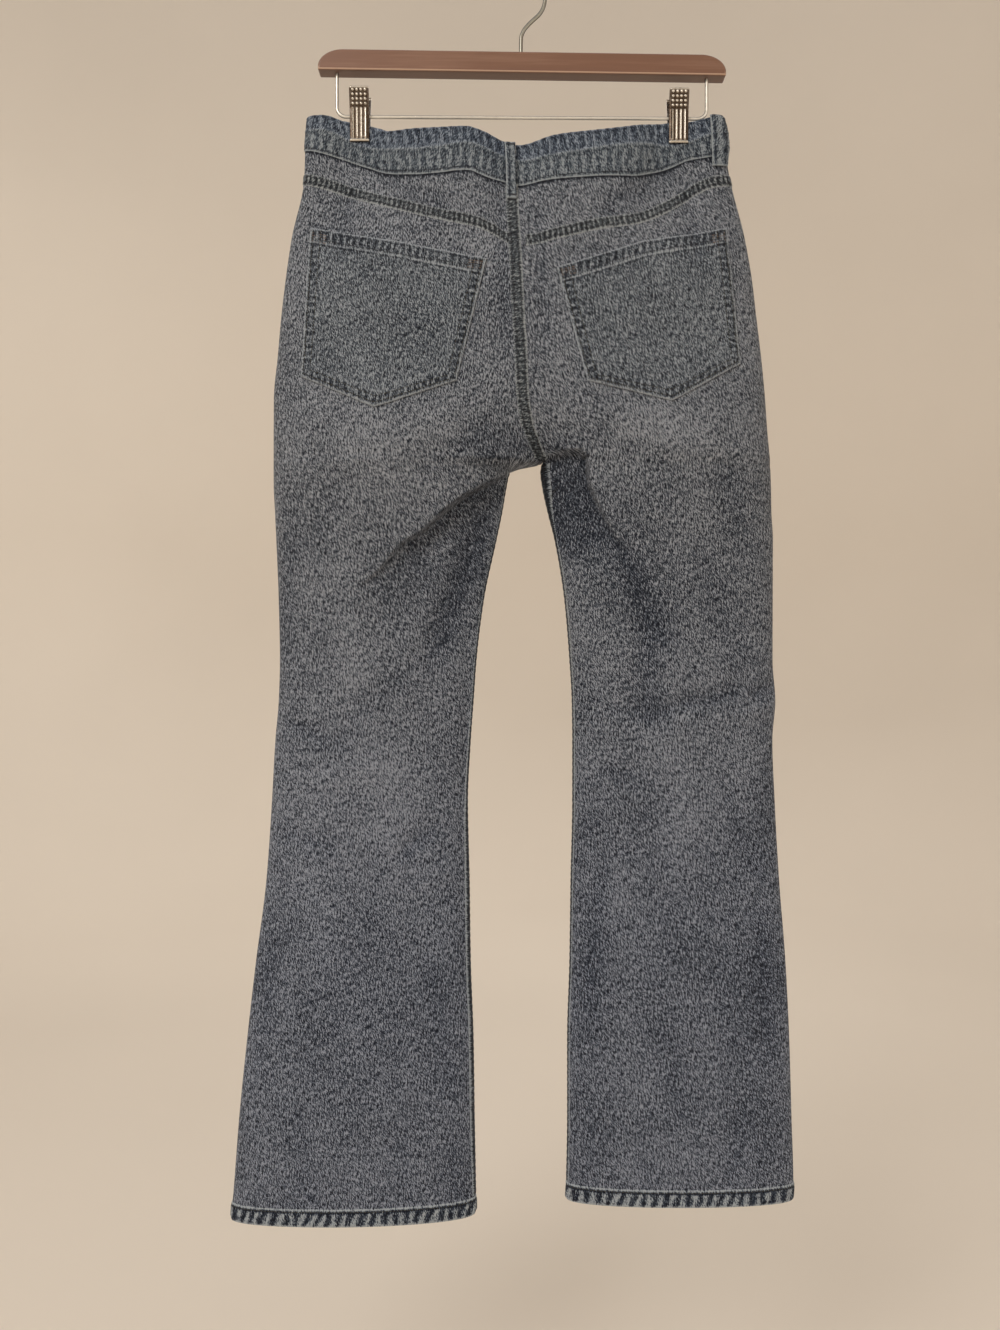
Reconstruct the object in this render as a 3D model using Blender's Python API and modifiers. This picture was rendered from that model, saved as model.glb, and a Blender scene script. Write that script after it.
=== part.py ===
"""Straight-leg jeans hung by the waistband from a wooden hanger with two clips.

Metres, +Z up. The origin is the seat of the hanger's hook, where a rod or a nail
carries it. The back of the jeans faces -Y and the front +Y; "left" and "right" are
the wearer's, so left is at -X. Heights are written as drops below the hook's seat.
"""

import math
from collections import namedtuple

import bmesh
import bpy
import numpy as np

MM = 0.001

# ---- driving dimensions, millimetres unless a name says otherwise ---------------
CLOTH = 1.5                 # wall of one layer of denim with its seam allowances
BAND_WALL = 2.4             # the waistband is two layers
BAND_PROUD = 0.8            # and stands this far out of the panels
HEM_WALL = 3.6              # the turned hem is three layers
HEM_PROUD = 0.8
HEM_HEIGHT = 15.0
PATCH_WALL = 1.3            # patch pockets, loops and the fly's lap
SEAM_GAP = 0.3
PATCH_LIFT = 0.55           # a patch stands this clear of the faceted panel under it

ROUNDNESS = 0.75            # power of the sine that gives a section its flat middle
SEAT_START = 330.0          # drop where the centre seams begin to turn under
CROTCH = 427.0              # drop of the crossing of the four seams
LEVEL_ROWS = 560.0          # below this drop the rows of a panel lie level
PINCH_DEPTH = 2.6           # half the thickness of the two layers inside a clip
PINCH_FLAT = 12.0           # half width of the flat cloth inside a clip
PINCH_FADE = (148.0, 262.0)  # drops between which a clip's pinch dies out
CLIP_X = (-141.0, 137.5)
CENTRE_TUCK = 0.35          # share by which the band sits in at the centre back
CENTRE_TUCK_WIDTH = 26.0

HANGER_TILT = math.radians(0.86)
BAR_LENGTH = 356.0
BAR_TOP = 69.0
BAR_HEIGHT = 18.3
BAR_DEPTH = 13.4
BAR_CENTRE_X = 1.0
BAR_SHOULDER = 22.0         # length and height of the rounded shoulder at each end
BAR_SHOULDER_DROP = 15.0
HOOK_WIRE = 3.4
HOOK_RADIUS = 21.0
SHANK_X = 0.0
ROD_WIRE = 3.0
ROD_DROP = (122.6, 124.4)   # the rod under the bar, at its left and right bend
ROD_X = (-161.3, 162.8)
ROD_BEND = 8.0
JAW_WIDTH = 17.0
JAW_WALL = 1.3
BARREL_RADIUS = 3.6

BUTTON_RADIUS = 8.5
BUTTON_STAND = 0.9           # clear of the lap, which bows a little behind it
FLY_WIDTH = 36.0
FLY_LENGTH = 132.0
LAP_LENGTH = 24.0           # how far the left end of the band laps past the centre
LOOP_WIDTH = 12.0
FLY_STRAIGHT = 0.6          # part of the fly's length before its foot curves in
BAND_MIDDLE = 165.0         # drop of the band's middle at the centre front
LAP_RISE = 0.5              # clearance between the band's lap and the band under it
LAP_CROSSING = 0.4          # part of the lap's stations that lie on the left front
ZIP_DROPS = (200.0, 308.0)
ZIP_WIDTH = 24.0
ZIP_WALL = 0.8
ZIP_STAND = 1.1             # clear of the fronts, whose facets bow inwards
SLIDER = (6.0, 2.4, 9.0)

Section = namedtuple("Section", "drop left_out left_in right_in right_out back_left back_right front")
# Where the cloth reaches at each drop; above the crotch both inner edges are the
# centre seam. The last three columns are how far the cloth bulges from the middle plane.
SECTIONS = (
    Section(105, -186, -5, -5, 173, 15, 15, 9),
    Section(124, -187, -5, -5, 175, 15, 15, 10),
    Section(147, -189, -5, -5, 178, 16, 16, 11),
    Section(178, -190, -5, -5, 183, 19, 19, 12),
    Section(231, -201, -2, -2, 196, 24, 24, 14),
    Section(266, -206, 0, 0, 202, 28, 28, 15),
    Section(301, -210, 1, 1, 206, 32, 32, 16),
    Section(336, -213, 3, 3, 210, 35, 35, 17),
    Section(371, -216, 5, 5, 213, 38, 38, 18),
    Section(397, -216, 9, 9, 214.5, 40, 40, 18),
    Section(415, -216, 16, 16, 216, 40, 40, 18),
    Section(427, -216, 19, 19, 217, 39, 39, 17),
    Section(430, -216, 4, 18, 217, 39, 38, 17),
    Section(435, -216, -10, 17.5, 217.5, 38, 37, 17),
    Section(447, -216, -13, 19, 218, 36, 36, 16),
    Section(470, -215, -17, 24, 218.5, 33, 34, 16),
    Section(494, -214, -22, 30, 220, 30, 31, 15),
    Section(546, -212, -33, 38.5, 220, 26, 27, 15),
    Section(599, -211, -39.5, 43, 220, 24, 24, 14),
    Section(634, -212, -42, 45, 222.5, 23, 22, 14),
    Section(669, -215, -44.5, 45.5, 220, 22, 21, 14),
    Section(722, -218, -47, 45.5, 222, 21, 20, 14),
    Section(792, -223, -45.5, 44, 226, 20, 19, 13),
    Section(862, -232, -44.5, 43, 231.5, 19, 18, 13),
    Section(932, -240, -42, 41, 235, 19, 17, 13),
    Section(1002, -247, -41, 41, 237, 20, 17, 13),
    Section(1055, -251, -40, 40, 238.5, 21, 18, 13),
    Section(1090, -254, -39.5, 39, 236, 22, 18, 14),
)

Edge = namedtuple("Edge", "x drop")
BAND_TOP_BACK = (
    Edge(-187, 124), Edge(-172, 124), Edge(-151, 129.5), Edge(-131, 135), Edge(-103, 139),
    Edge(-48, 138), Edge(-33, 141.5), Edge(-15, 149), Edge(-2, 152), Edge(28, 146),
    Edge(57, 142.5), Edge(87, 139.5), Edge(126, 131), Edge(147, 128.5), Edge(161, 126), Edge(175, 124),
)
BAND_FOOT_BACK = (
    Edge(-188, 153), Edge(-164, 160.5), Edge(-141, 169), Edge(-122, 176), Edge(-98, 177.5),
    Edge(-75, 176.5), Edge(-52, 174), Edge(-29, 179.5), Edge(-15, 184.5), Edge(-2, 188),
    Edge(22, 183), Edge(45, 181.5), Edge(94, 179), Edge(115, 175.5), Edge(132, 170),
    Edge(149, 164), Edge(163, 160.5), Edge(178, 155),
)
YOKE_FOOT = (
    Edge(-191, 184), Edge(-168, 190), Edge(-144, 198), Edge(-109, 209.5), Edge(-83, 218),
    Edge(-58, 224.5), Edge(-38, 229), Edge(-24, 235.5), Edge(-3, 246), Edge(33, 238.5),
    Edge(68, 230), Edge(103, 223), Edge(121, 215.5), Edge(140, 204.5), Edge(155, 194.5),
    Edge(167, 188.5), Edge(183, 185.5),
)
BAND_TOP_FRONT = (
    Edge(-187, 124), Edge(-165, 125), Edge(-141, 129), Edge(-118, 134), Edge(-60, 146),
    Edge(-2, 152), Edge(60, 146), Edge(112, 134), Edge(137, 129), Edge(160, 125.5), Edge(175, 124),
)
BAND_FOOT_FRONT = (
    Edge(-188, 153), Edge(-165, 160), Edge(-141, 167), Edge(-118, 172), Edge(-60, 184),
    Edge(-2, 190), Edge(60, 184), Edge(112, 172), Edge(137, 167), Edge(160, 160), Edge(178, 155),
)

Hem = namedtuple("Hem", "side inseam")
HEMS = {"left": Hem(1087.0, 1082.0), "right": Hem(1070.0, 1070.0)}

# The seat's lower fold on each side: the cloth below it is set back.
FoldPoint = namedtuple("FoldPoint", "x drop step")
SEAT_FOLD = (
    FoldPoint(-213, 545, 0), FoldPoint(-150, 540, 0), FoldPoint(-126, 526, 3), FoldPoint(-99, 497, 9),
    FoldPoint(-88, 491, 12), FoldPoint(-71, 476, 15), FoldPoint(-56, 463, 16), FoldPoint(-39, 452, 16),
    FoldPoint(-20, 442, 13), FoldPoint(-10, 436, 6),
)
NOOK_FOLD = (
    FoldPoint(22, 428, 9), FoldPoint(35, 423.5, 12), FoldPoint(46, 422.5, 12), FoldPoint(55, 428, 12),
    FoldPoint(57, 450, 12), FoldPoint(66, 469, 10), FoldPoint(77, 490, 7), FoldPoint(100, 525, 0),
)
SEAT_FOLD_RISE = 5.0        # length over which the seat's fold steps
NOOK_RISE = 7.0
FOLD_EDGE_FADE = 0.35       # the steps die out towards the seams

Pocket = namedtuple("Pocket", "top_out top_mid top_in low_in tip low_out")
POCKETS = {
    "left": Pocket((-182, 226), (-104, 241), (-30, 258), (-55, 364), (-122, 384), (-188, 357)),
    "right": Pocket((177, 226), (104, 240), (30, 266), (55, 364.5), (125, 379), (187, 346)),
}
# The mouth of the hidden front pockets: the panel's top edge near the side seam.
Mouth = namedtuple("Mouth", "u depth")
FRONT_MOUTH = (
    Mouth(0.0, 88), Mouth(0.18, 84), Mouth(0.32, 74), Mouth(0.44, 55), Mouth(0.54, 26), Mouth(0.58, 0),
)

COLOURS = {
    "denim": (0.105, 0.150, 0.215, 1.0), "wood": (0.25, 0.135, 0.09, 1.0),
    "steel": (0.55, 0.55, 0.56, 1.0), "brass": (0.42, 0.30, 0.18, 1.0),
}

COLLECTION = "straight_leg_jeans_on_hanger"
BACK, FRONT = -1.0, 1.0
COLUMNS = 16


# ---- curves through the tables ---------------------------------------------------
def smooth(at, xs, ys):
    """Monotone cubic through a table's rows, level beyond its ends."""
    xs = np.asarray(xs, float)
    ys = np.asarray(ys, float)
    at = np.clip(np.asarray(at, float), xs[0], xs[-1])
    step = np.diff(xs)
    rise = np.diff(ys) / step
    slope = np.zeros_like(xs)
    slope[0], slope[-1] = rise[0], rise[-1]
    for k in range(1, len(xs) - 1):
        if rise[k - 1] * rise[k] > 0:
            w1 = 2 * step[k] + step[k - 1]
            w2 = step[k] + 2 * step[k - 1]
            slope[k] = (w1 + w2) / (w1 / rise[k - 1] + w2 / rise[k])
    k = np.clip(np.searchsorted(xs, at, side="right") - 1, 0, len(xs) - 2)
    t = (at - xs[k]) / step[k]
    return (ys[k] * (1 + 2 * t) * (1 - t) ** 2 + slope[k] * step[k] * t * (1 - t) ** 2
            + ys[k + 1] * t * t * (3 - 2 * t) + slope[k + 1] * step[k] * t * t * (t - 1))


def column(name, drop):
    return smooth(drop, [row.drop for row in SECTIONS], [getattr(row, name) for row in SECTIONS])


def edge_drop(edge, x):
    return smooth(x, [row.x for row in edge], [row.drop for row in edge])


def ramp(value):
    value = np.clip(value, 0.0, 1.0)
    return value * value * (3 - 2 * value)


# ---- the surface of the cloth ----------------------------------------------------
def end_angle(drop):
    """A quarter turn above the seat, growing to a half turn where the leg closes."""
    t = np.clip((np.asarray(drop, float) - SEAT_START) / (CROTCH - SEAT_START), 0.0, 1.0)
    height = np.sqrt(1 - t * t)
    return math.pi - np.arcsin(height ** (1 / ROUNDNESS))


def pinch(x, drop, depth):
    """Draws the waist in between the jaws of the clips and at the centre back."""
    fade = 1 - ramp((drop - PINCH_FADE[0]) / (PINCH_FADE[1] - PINCH_FADE[0]))
    reach = 20.0 + 26.0 * (1 - fade)
    for clip in CLIP_X:
        off = np.maximum(np.abs(x - clip) - PINCH_FLAT, 0.0) / reach
        grip = np.exp(-off * off) * fade
        depth = depth * (1 - grip) + np.sign(depth) * np.minimum(np.abs(depth), PINCH_DEPTH) * grip
    tuck = CENTRE_TUCK * np.exp(-((x + 2) / CENTRE_TUCK_WIDTH) ** 2) * fade
    return depth * (1 - tuck)


def seat_fold(x, drop):
    """The left seat's lower edge hangs over the leg: how far the leg is set back."""
    xs = [row.x for row in SEAT_FOLD]
    line = smooth(x, xs, [row.drop for row in SEAT_FOLD])
    step = smooth(x, xs, [row.step for row in SEAT_FOLD])
    below = drop - line
    return step * ramp(below / SEAT_FOLD_RISE) * np.exp(-np.maximum(below, 0) / 190.0)


def nook_fold(x, drop):
    """The hollow beside the right inseam, bounded by a fold above and outside it."""
    nearest = np.full(np.shape(x), 1e9)
    step = np.zeros(np.shape(x))
    for a, b in zip(NOOK_FOLD, NOOK_FOLD[1:]):
        ax, ad = b.x - a.x, b.drop - a.drop
        t = np.clip(((x - a.x) * ax + (drop - a.drop) * ad) / (ax * ax + ad * ad), 0, 1)
        away = np.hypot(x - a.x - t * ax, drop - a.drop - t * ad)
        inside = (x - a.x) * ad - (drop - a.drop) * ax < 0
        closer = away < nearest - 1e-6
        nearest = np.where(closer, away, nearest)
        signed = np.where(inside, away, -away)
        step = np.where(closer, (a.step + t * (b.step - a.step)) * ramp(signed / NOOK_RISE + 0.5), step)
    return step * (1 - ramp((drop - 470) / 70.0))


def cloth(side, face, u, drop):
    """A point of the cloth: u runs from the side seam to the centre seam or inseam."""
    u = np.asarray(u, float)
    drop = np.asarray(drop, float)
    outer = column(side + "_out", drop)
    inner = column(side + "_in", drop)
    end = end_angle(drop)
    phi = u * end
    x = outer + (inner - outer) * (1 - np.cos(phi)) / (1 - np.cos(end))
    bulge = column("front" if face == FRONT else "back_" + side, drop)
    wave = np.sin(phi)
    depth = bulge * np.sign(wave) * np.abs(wave) ** ROUNDNESS
    depth = pinch(x, drop, depth)
    if face == BACK:
        fold = seat_fold if side == "left" else nook_fold
        edge = ramp(np.abs(wave) / FOLD_EDGE_FADE)
        depth = depth - np.minimum(fold(x, drop) * edge, 0.62 * np.abs(depth))
    return np.stack([x, face * depth, -drop], axis=-1)


def share_at(side, x, drop):
    """The u of a point of the cloth given by its x."""
    outer = column(side + "_out", drop)
    inner = column(side + "_in", drop)
    end = end_angle(drop)
    part = np.clip((x - outer) / (inner - outer), 0.0, 1.0)
    return np.arccos(1 - part * (1 - np.cos(end))) / end


def outward(side, face, u, drop):
    """Unit normals of the cloth, pointing away from the wearer."""
    du, dd = 0.004, 0.8
    along = cloth(side, face, u + du, drop) - cloth(side, face, u - du, drop)
    down = cloth(side, face, u, drop + dd) - cloth(side, face, u, drop - dd)
    normal = np.cross(along, down)
    normal /= np.linalg.norm(normal, axis=-1, keepdims=True)
    turn = -1.0 if (side == "left") == (face == BACK) else 1.0
    return normal * turn


def seam_clear(points, side, face, u, drop):
    """Stops a wall half a seam gap short of the plane that its seam lies in."""
    points = points.copy()
    points[..., 1] = face * np.maximum(face * points[..., 1], SEAM_GAP / 2)
    centre = (drop < CROTCH + 0.5) & (u > 0.5)
    line = column(side + "_in", np.minimum(drop, CROTCH))
    if side == "left":
        limit = np.minimum(points[..., 0], line - SEAM_GAP / 2)
    else:
        limit = np.maximum(points[..., 0], line + SEAM_GAP / 2)
    points[..., 0] = np.where(centre, limit, points[..., 0])
    return points


def lifted(side, face, u, drop, lift):
    """Points of the cloth moved out along its normals, clear of the seams."""
    points = cloth(side, face, u, drop) + outward(side, face, u, drop) * np.asarray(lift)[..., None]
    return seam_clear(points, side, face, u, drop)


# ---- making solids ---------------------------------------------------------------
def material(kind):
    name = kind + "_finish"
    made = bpy.data.materials.get(name)
    if made is None:
        made = bpy.data.materials.new(name)
        made.use_nodes = True
        shader = made.node_tree.nodes["Principled BSDF"]
        shader.inputs["Base Color"].default_value = COLOURS[kind]
        shader.inputs["Metallic"].default_value = 1.0 if kind in ("steel", "brass") else 0.0
        shader.inputs["Roughness"].default_value = {"steel": 0.25, "brass": 0.35, "wood": 0.35}.get(kind, 0.9)
    return made


def add_object(name, mesh, kind):
    mesh.materials.append(material(kind))
    made = bpy.data.objects.new(name, mesh)
    bpy.data.collections[COLLECTION].objects.link(made)
    return made


def wall(name, outer, inner, kind="denim"):
    """A closed wall lofted between two grids of points, its outer and inner faces."""
    rows, columns = outer.shape[:2]
    count = rows * columns
    points = np.concatenate([outer.reshape(-1, 3), inner.reshape(-1, 3)]) * MM

    def index(layer, row, col):
        return layer * count + row * columns + col

    faces = []
    for layer in (0, 1):
        for row in range(rows - 1):
            for col in range(columns - 1):
                quad = [index(layer, row, col), index(layer, row, col + 1),
                        index(layer, row + 1, col + 1), index(layer, row + 1, col)]
                faces.append(quad if layer == 0 else quad[::-1])
    rim = [(0, col) for col in range(columns - 1)]
    rim += [(row, columns - 1) for row in range(rows - 1)]
    rim += [(rows - 1, col) for col in range(columns - 1, 0, -1)]
    rim += [(row, 0) for row in range(rows - 1, 0, -1)]
    for here, there in zip(rim, rim[1:] + rim[:1]):
        faces.append([index(0, *there), index(0, *here), index(1, *here), index(1, *there)])
    mesh = bpy.data.meshes.new(name)
    mesh.from_pydata([tuple(p) for p in points], [], faces)
    solid = bmesh.new()
    solid.from_mesh(mesh)
    bmesh.ops.triangulate(solid, faces=solid.faces[:], quad_method="SHORT_EDGE")
    bmesh.ops.recalc_face_normals(solid, faces=solid.faces[:])
    solid.to_mesh(mesh)
    solid.free()
    return add_object(name, mesh, kind)


def cloth_wall(name, side, face, u, drop, proud=0.0, thick=CLOTH):
    proud = np.broadcast_to(proud, u.shape)
    thick = np.broadcast_to(thick, u.shape)
    return wall(name, lifted(side, face, u, drop, proud), lifted(side, face, u, drop, proud - thick))


def wire(name, points, diameter, kind="steel"):
    """A round wire through the points, millimetres."""
    curve = bpy.data.curves.new(name, "CURVE")
    curve.dimensions = "3D"
    curve.bevel_depth = diameter / 2 * MM
    curve.bevel_resolution = 2
    curve.use_fill_caps = True
    line = curve.splines.new("POLY")
    line.points.add(len(points) - 1)
    for point, place in zip(line.points, points):
        point.co = (place[0] * MM, place[1] * MM, place[2] * MM, 1.0)
    return add_object(name, curve, kind)


def arc(centre, radius, start, stop, count):
    """Points of an arc in the XZ plane; angles in degrees from +X towards +Z."""
    angles = np.radians(np.linspace(start, stop, count))
    return [(centre[0] + radius * math.cos(a), 0.0, centre[1] + radius * math.sin(a)) for a in angles]


# ---- the garment -------------------------------------------------------------------
def row_drops(stations, top, fold):
    """Drops of a panel's rows: from its top edge, along the seat's fold, down to level."""
    rows = [top + (SEAT_START - top) * s for s in stations.upper]
    rows += [SEAT_START + (fold - SEAT_FOLD_RISE / 2 - SEAT_START) * s for s in stations.seat]
    start = fold + SEAT_FOLD_RISE * 1.2
    rows += [start + (LEVEL_ROWS - start) * s for s in stations.thigh]
    return rows


Stations = namedtuple("Stations", "upper seat thigh")
BACK_STATIONS = Stations(
    (0.0, 0.33, 0.67, 1.0), (0.3, 0.55, 0.75, 0.88, 0.955, 1.0), (0.0, 0.12, 0.3, 0.55, 0.8))
FRONT_STATIONS = Stations((0.0, 0.5, 1.0), (0.4, 0.7, 0.88, 0.96, 1.0), (0.0, 0.15, 0.4, 0.75))
LEG_ROWS = (0.0, 0.09, 0.18, 0.28, 0.4, 0.52, 0.64, 0.76, 0.88, 1.0)
FORK_FOLD = 435.0           # where the rows of a plain panel pass below the crotch


def panel_rows(side, u, top, fold, stations):
    """The drops of every row of a leg panel, and whether each lies in the hem."""
    rows = row_drops(stations, top, fold)
    hem = HEMS[side].side + (HEMS[side].inseam - HEMS[side].side) * u
    for part in LEG_ROWS:
        rows.append(LEVEL_ROWS + (hem - HEM_HEIGHT - 1.0 - LEVEL_ROWS) * part)
    rows.append(hem - HEM_HEIGHT)
    rows.append(hem)
    drop = np.array(rows)
    in_hem = np.zeros(drop.shape)
    in_hem[-2:] = 1.0
    return drop, in_hem


def leg_panel(name, side, face, top, fold, stations):
    u = np.linspace(0.0, 1.0, len(top))
    drop, in_hem = panel_rows(side, u, top, fold, stations)
    grid = np.broadcast_to(u, drop.shape)
    cloth_wall(name, side, face, grid, drop, HEM_PROUD * in_hem, CLOTH + (HEM_WALL - CLOTH) * in_hem)


def edge_along(edge, side, face, u):
    """The drop of an edge at each u: the edge is a table over x, so it is met by steps."""
    drop = np.full(u.shape, 170.0)
    for _ in range(6):
        drop = edge_drop(edge, cloth(side, face, u, drop)[..., 0])
    return drop


def fold_along(side, u):
    """Drop of the seat's lower fold at each u of a back panel."""
    if side == "right":
        return np.full(u.shape, FORK_FOLD)
    drop = np.full(u.shape, 450.0)
    for _ in range(12):
        x = cloth(side, BACK, u, drop)[..., 0]
        drop = 0.5 * drop + 0.5 * smooth(x, [row.x for row in SEAT_FOLD], [row.drop for row in SEAT_FOLD])
    drop[-1] = FORK_FOLD
    return drop


def build_back(side):
    u = np.linspace(0.0, 1.0, COLUMNS + 1)
    foot = edge_along(YOKE_FOOT, side, BACK, u)
    band = edge_along(BAND_FOOT_BACK, side, BACK, u)
    leg_panel("back_" + side, side, BACK, foot + SEAM_GAP / 2, fold_along(side, u), BACK_STATIONS)
    parts = np.linspace(0.0, 1.0, 5)[:, None]
    drop = band + SEAM_GAP / 2 + (foot - band - SEAM_GAP) * parts
    cloth_wall("yoke_" + side, side, BACK, np.broadcast_to(u, drop.shape), drop)


def mouth_depth(u):
    return smooth(u, [row.u for row in FRONT_MOUTH], [row.depth for row in FRONT_MOUTH])


def build_front(side):
    u = np.linspace(0.0, 1.0, COLUMNS + 1)
    band = edge_along(BAND_FOOT_FRONT, side, FRONT, u)
    top = band + mouth_depth(u)
    leg_panel("front_" + side, side, FRONT, top + SEAM_GAP / 2, np.full(u.shape, FORK_FOLD), FRONT_STATIONS)
    inside = u[mouth_depth(u) > 4.0]
    drop = band[:len(inside)] + SEAM_GAP / 2
    depth = mouth_depth(inside) - SEAM_GAP
    drop = drop + depth * np.linspace(0.0, 1.0, 5)[:, None]
    cloth_wall("pocket_facing_" + side, side, FRONT, np.broadcast_to(inside, drop.shape), drop)


def band_path(side):
    """The faces and shares that half a waistband runs through, back to front."""
    u = np.linspace(1.0, 0.0, COLUMNS + 1)
    legs = [(side, BACK, share) for share in u[:-1]]
    legs += [(side, FRONT, share) for share in u[::-1][1:]]
    return legs


BandCut = namedtuple("BandCut", "side face share head foot rise")


def band_cut(side, face, share, rise=0.0):
    """One cut across the waistband: its upper and lower drop, and its lift."""
    one = np.array([share])
    top, foot = (BAND_TOP_BACK, BAND_FOOT_BACK) if face == BACK else (BAND_TOP_FRONT, BAND_FOOT_FRONT)
    head = edge_along(top, side, face, one)[0]
    return BandCut(side, face, share, head, edge_along(foot, side, face, one)[0] - SEAM_GAP / 2, rise)


def lap_cuts(start):
    """The cuts of the left half's lap, from the left front across the centre."""
    reach = float(share_at("right", column("right_in", BAND_MIDDLE) + LAP_LENGTH, BAND_MIDDLE))
    cuts = []
    for step in np.linspace(0.0, 1.0, 6):
        if step >= LAP_CROSSING:
            share = 1 - (1 - reach) * (step - LAP_CROSSING) / (1 - LAP_CROSSING)
            cuts.append(band_cut("right", FRONT, share, BAND_WALL + LAP_RISE))
        else:
            share = start + (1 - start) * (step + 0.12) / (LAP_CROSSING + 0.12)
            cuts.append(band_cut("left", FRONT, share, BAND_WALL + LAP_RISE))
    return cuts


def build_band(side):
    """Half the waistband, from the centre back round the side to the centre front."""
    cuts = [band_cut(*place) for place in band_path(side)]
    if side == "left":
        cuts = cuts[:-1] + lap_cuts(cuts[-2].share)
    outer, inner = [], []
    for cut in cuts:
        drop = np.linspace(cut.head, cut.foot, 4)
        one = np.full(drop.shape, cut.share)
        point = cloth(cut.side, cut.face, one, drop)
        normal = outward(cut.side, cut.face, one, drop)
        proud = BAND_PROUD + cut.rise
        for layer, lift in ((outer, proud), (inner, proud - BAND_WALL)):
            points = point + normal * lift
            if cut.rise == 0.0 and cut.share > 0.9:
                limit = column("left_in", drop) + (-SEAM_GAP if side == "left" else SEAM_GAP) / 2
                hold = np.minimum if side == "left" else np.maximum
                points[:, 0] = hold(points[:, 0], limit)
            layer.append(points)
    wall("waistband_" + side, np.swapaxes(np.array(outer), 0, 1), np.swapaxes(np.array(inner), 0, 1))


def patch(name, side, face, xs, drops, lift, thick=PATCH_WALL):
    """A piece that lies on the cloth, from its points moved out."""
    u = share_at(side, xs, drops)
    points = cloth(side, face, u, drops)
    normal = outward(side, face, u, drops)
    lift = np.broadcast_to(lift, u.shape)[..., None]
    return wall(name, points + normal * (lift + thick), points + normal * lift)


def build_pocket(side):
    """A pointed patch pocket: columns from its outer to its inner edge."""
    shape = POCKETS[side]
    across = np.linspace(0.0, 1.0, 11)
    down = np.linspace(0.0, 1.0, 8)

    def bent(first, middle, last):
        knots = (0.0, 0.5, 1.0)
        return [np.interp(across, knots, [p[axis] for p in (first, middle, last)]) for axis in (0, 1)]

    top = bent(shape.top_out, shape.top_mid, shape.top_in)
    low = bent(shape.low_out, shape.tip, shape.low_in)
    xs = top[0] + (low[0] - top[0]) * down[:, None]
    drops = top[1] + (low[1] - top[1]) * down[:, None]
    patch("pocket_" + side, side, BACK, xs, drops, PATCH_LIFT)


Loop = namedtuple("Loop", "name side face x head foot")
LOOPS = (
    Loop("belt_loop_back", "left", BACK, -5.5, 0.5, 12.0),
    Loop("belt_loop_right", "right", BACK, 172.0, 0.5, 10.0),
    Loop("belt_loop_left", "left", FRONT, -172.0, 0.5, 10.0),
    Loop("belt_loop_front_left", "left", FRONT, -98.0, 0.5, 10.0),
    Loop("belt_loop_front_right", "right", FRONT, 98.0, 0.5, 10.0),
)
LOOP_PROUD = (0.5, 2.2, 3.0, 3.0, 2.6, 1.6, 0.9)


def arc_shares(side, face, share, drop, reach):
    """Shares on both sides of one, a given arc length away."""
    ends = [cloth(side, face, share + step, drop) for step in (0.01, -0.01)]
    length = np.linalg.norm(ends[0] - ends[1]) / 0.02
    return reach / length


def build_loop(loop):
    """A belt loop: sewn down at both ends, and standing off the band between them."""
    top = BAND_TOP_BACK if loop.face == BACK else BAND_TOP_FRONT
    foot = BAND_FOOT_BACK if loop.face == BACK else BAND_FOOT_FRONT
    head = float(edge_drop(top, loop.x)) + loop.head
    end = float(edge_drop(foot, loop.x)) + loop.foot
    drops = np.linspace(head, end, len(LOOP_PROUD))
    share = float(share_at(loop.side, loop.x, (head + end) / 2))
    half = arc_shares(loop.side, loop.face, share, (head + end) / 2, LOOP_WIDTH / 2)
    shares = share + np.array([-half, 0.0, half])
    grid_u, grid_drop = np.broadcast_arrays(shares[None, :], drops[:, None])
    points = cloth(loop.side, loop.face, grid_u, grid_drop)
    normal = outward(loop.side, loop.face, grid_u, grid_drop)
    lift = (BAND_PROUD + np.array(LOOP_PROUD))[:, None, None]
    wall(loop.name, points + normal * (lift + PATCH_WALL), points + normal * lift)


def build_fly():
    """The fly's lap on the left front, the zip behind it and the button on the band."""
    across = np.linspace(0.0, 1.0, 5)
    down = np.linspace(0.0, 1.0, 9)[:, None]
    top = float(edge_drop(BAND_FOOT_FRONT, 0.0)) + SEAM_GAP
    curve = np.clip((down - FLY_STRAIGHT) / (1.02 - FLY_STRAIGHT), 0.0, 1.0)
    width = FLY_WIDTH * np.sqrt(1 - curve * curve)
    xs = column("left_in", 220.0) - SEAM_GAP - width * across
    drops = np.broadcast_to(top + FLY_LENGTH * down, xs.shape)
    patch("fly_lap", "left", FRONT, xs, drops, PATCH_LIFT)


def behind(x, drop, depth):
    """A point a given depth inside the front, on whichever side of the centre x is."""
    side = "left" if x < float(column("left_in", drop)) else "right"
    share = np.array(share_at(side, x, drop))
    return cloth(side, FRONT, share, np.array(drop)) - outward(side, FRONT, share, np.array(drop)) * depth


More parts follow.
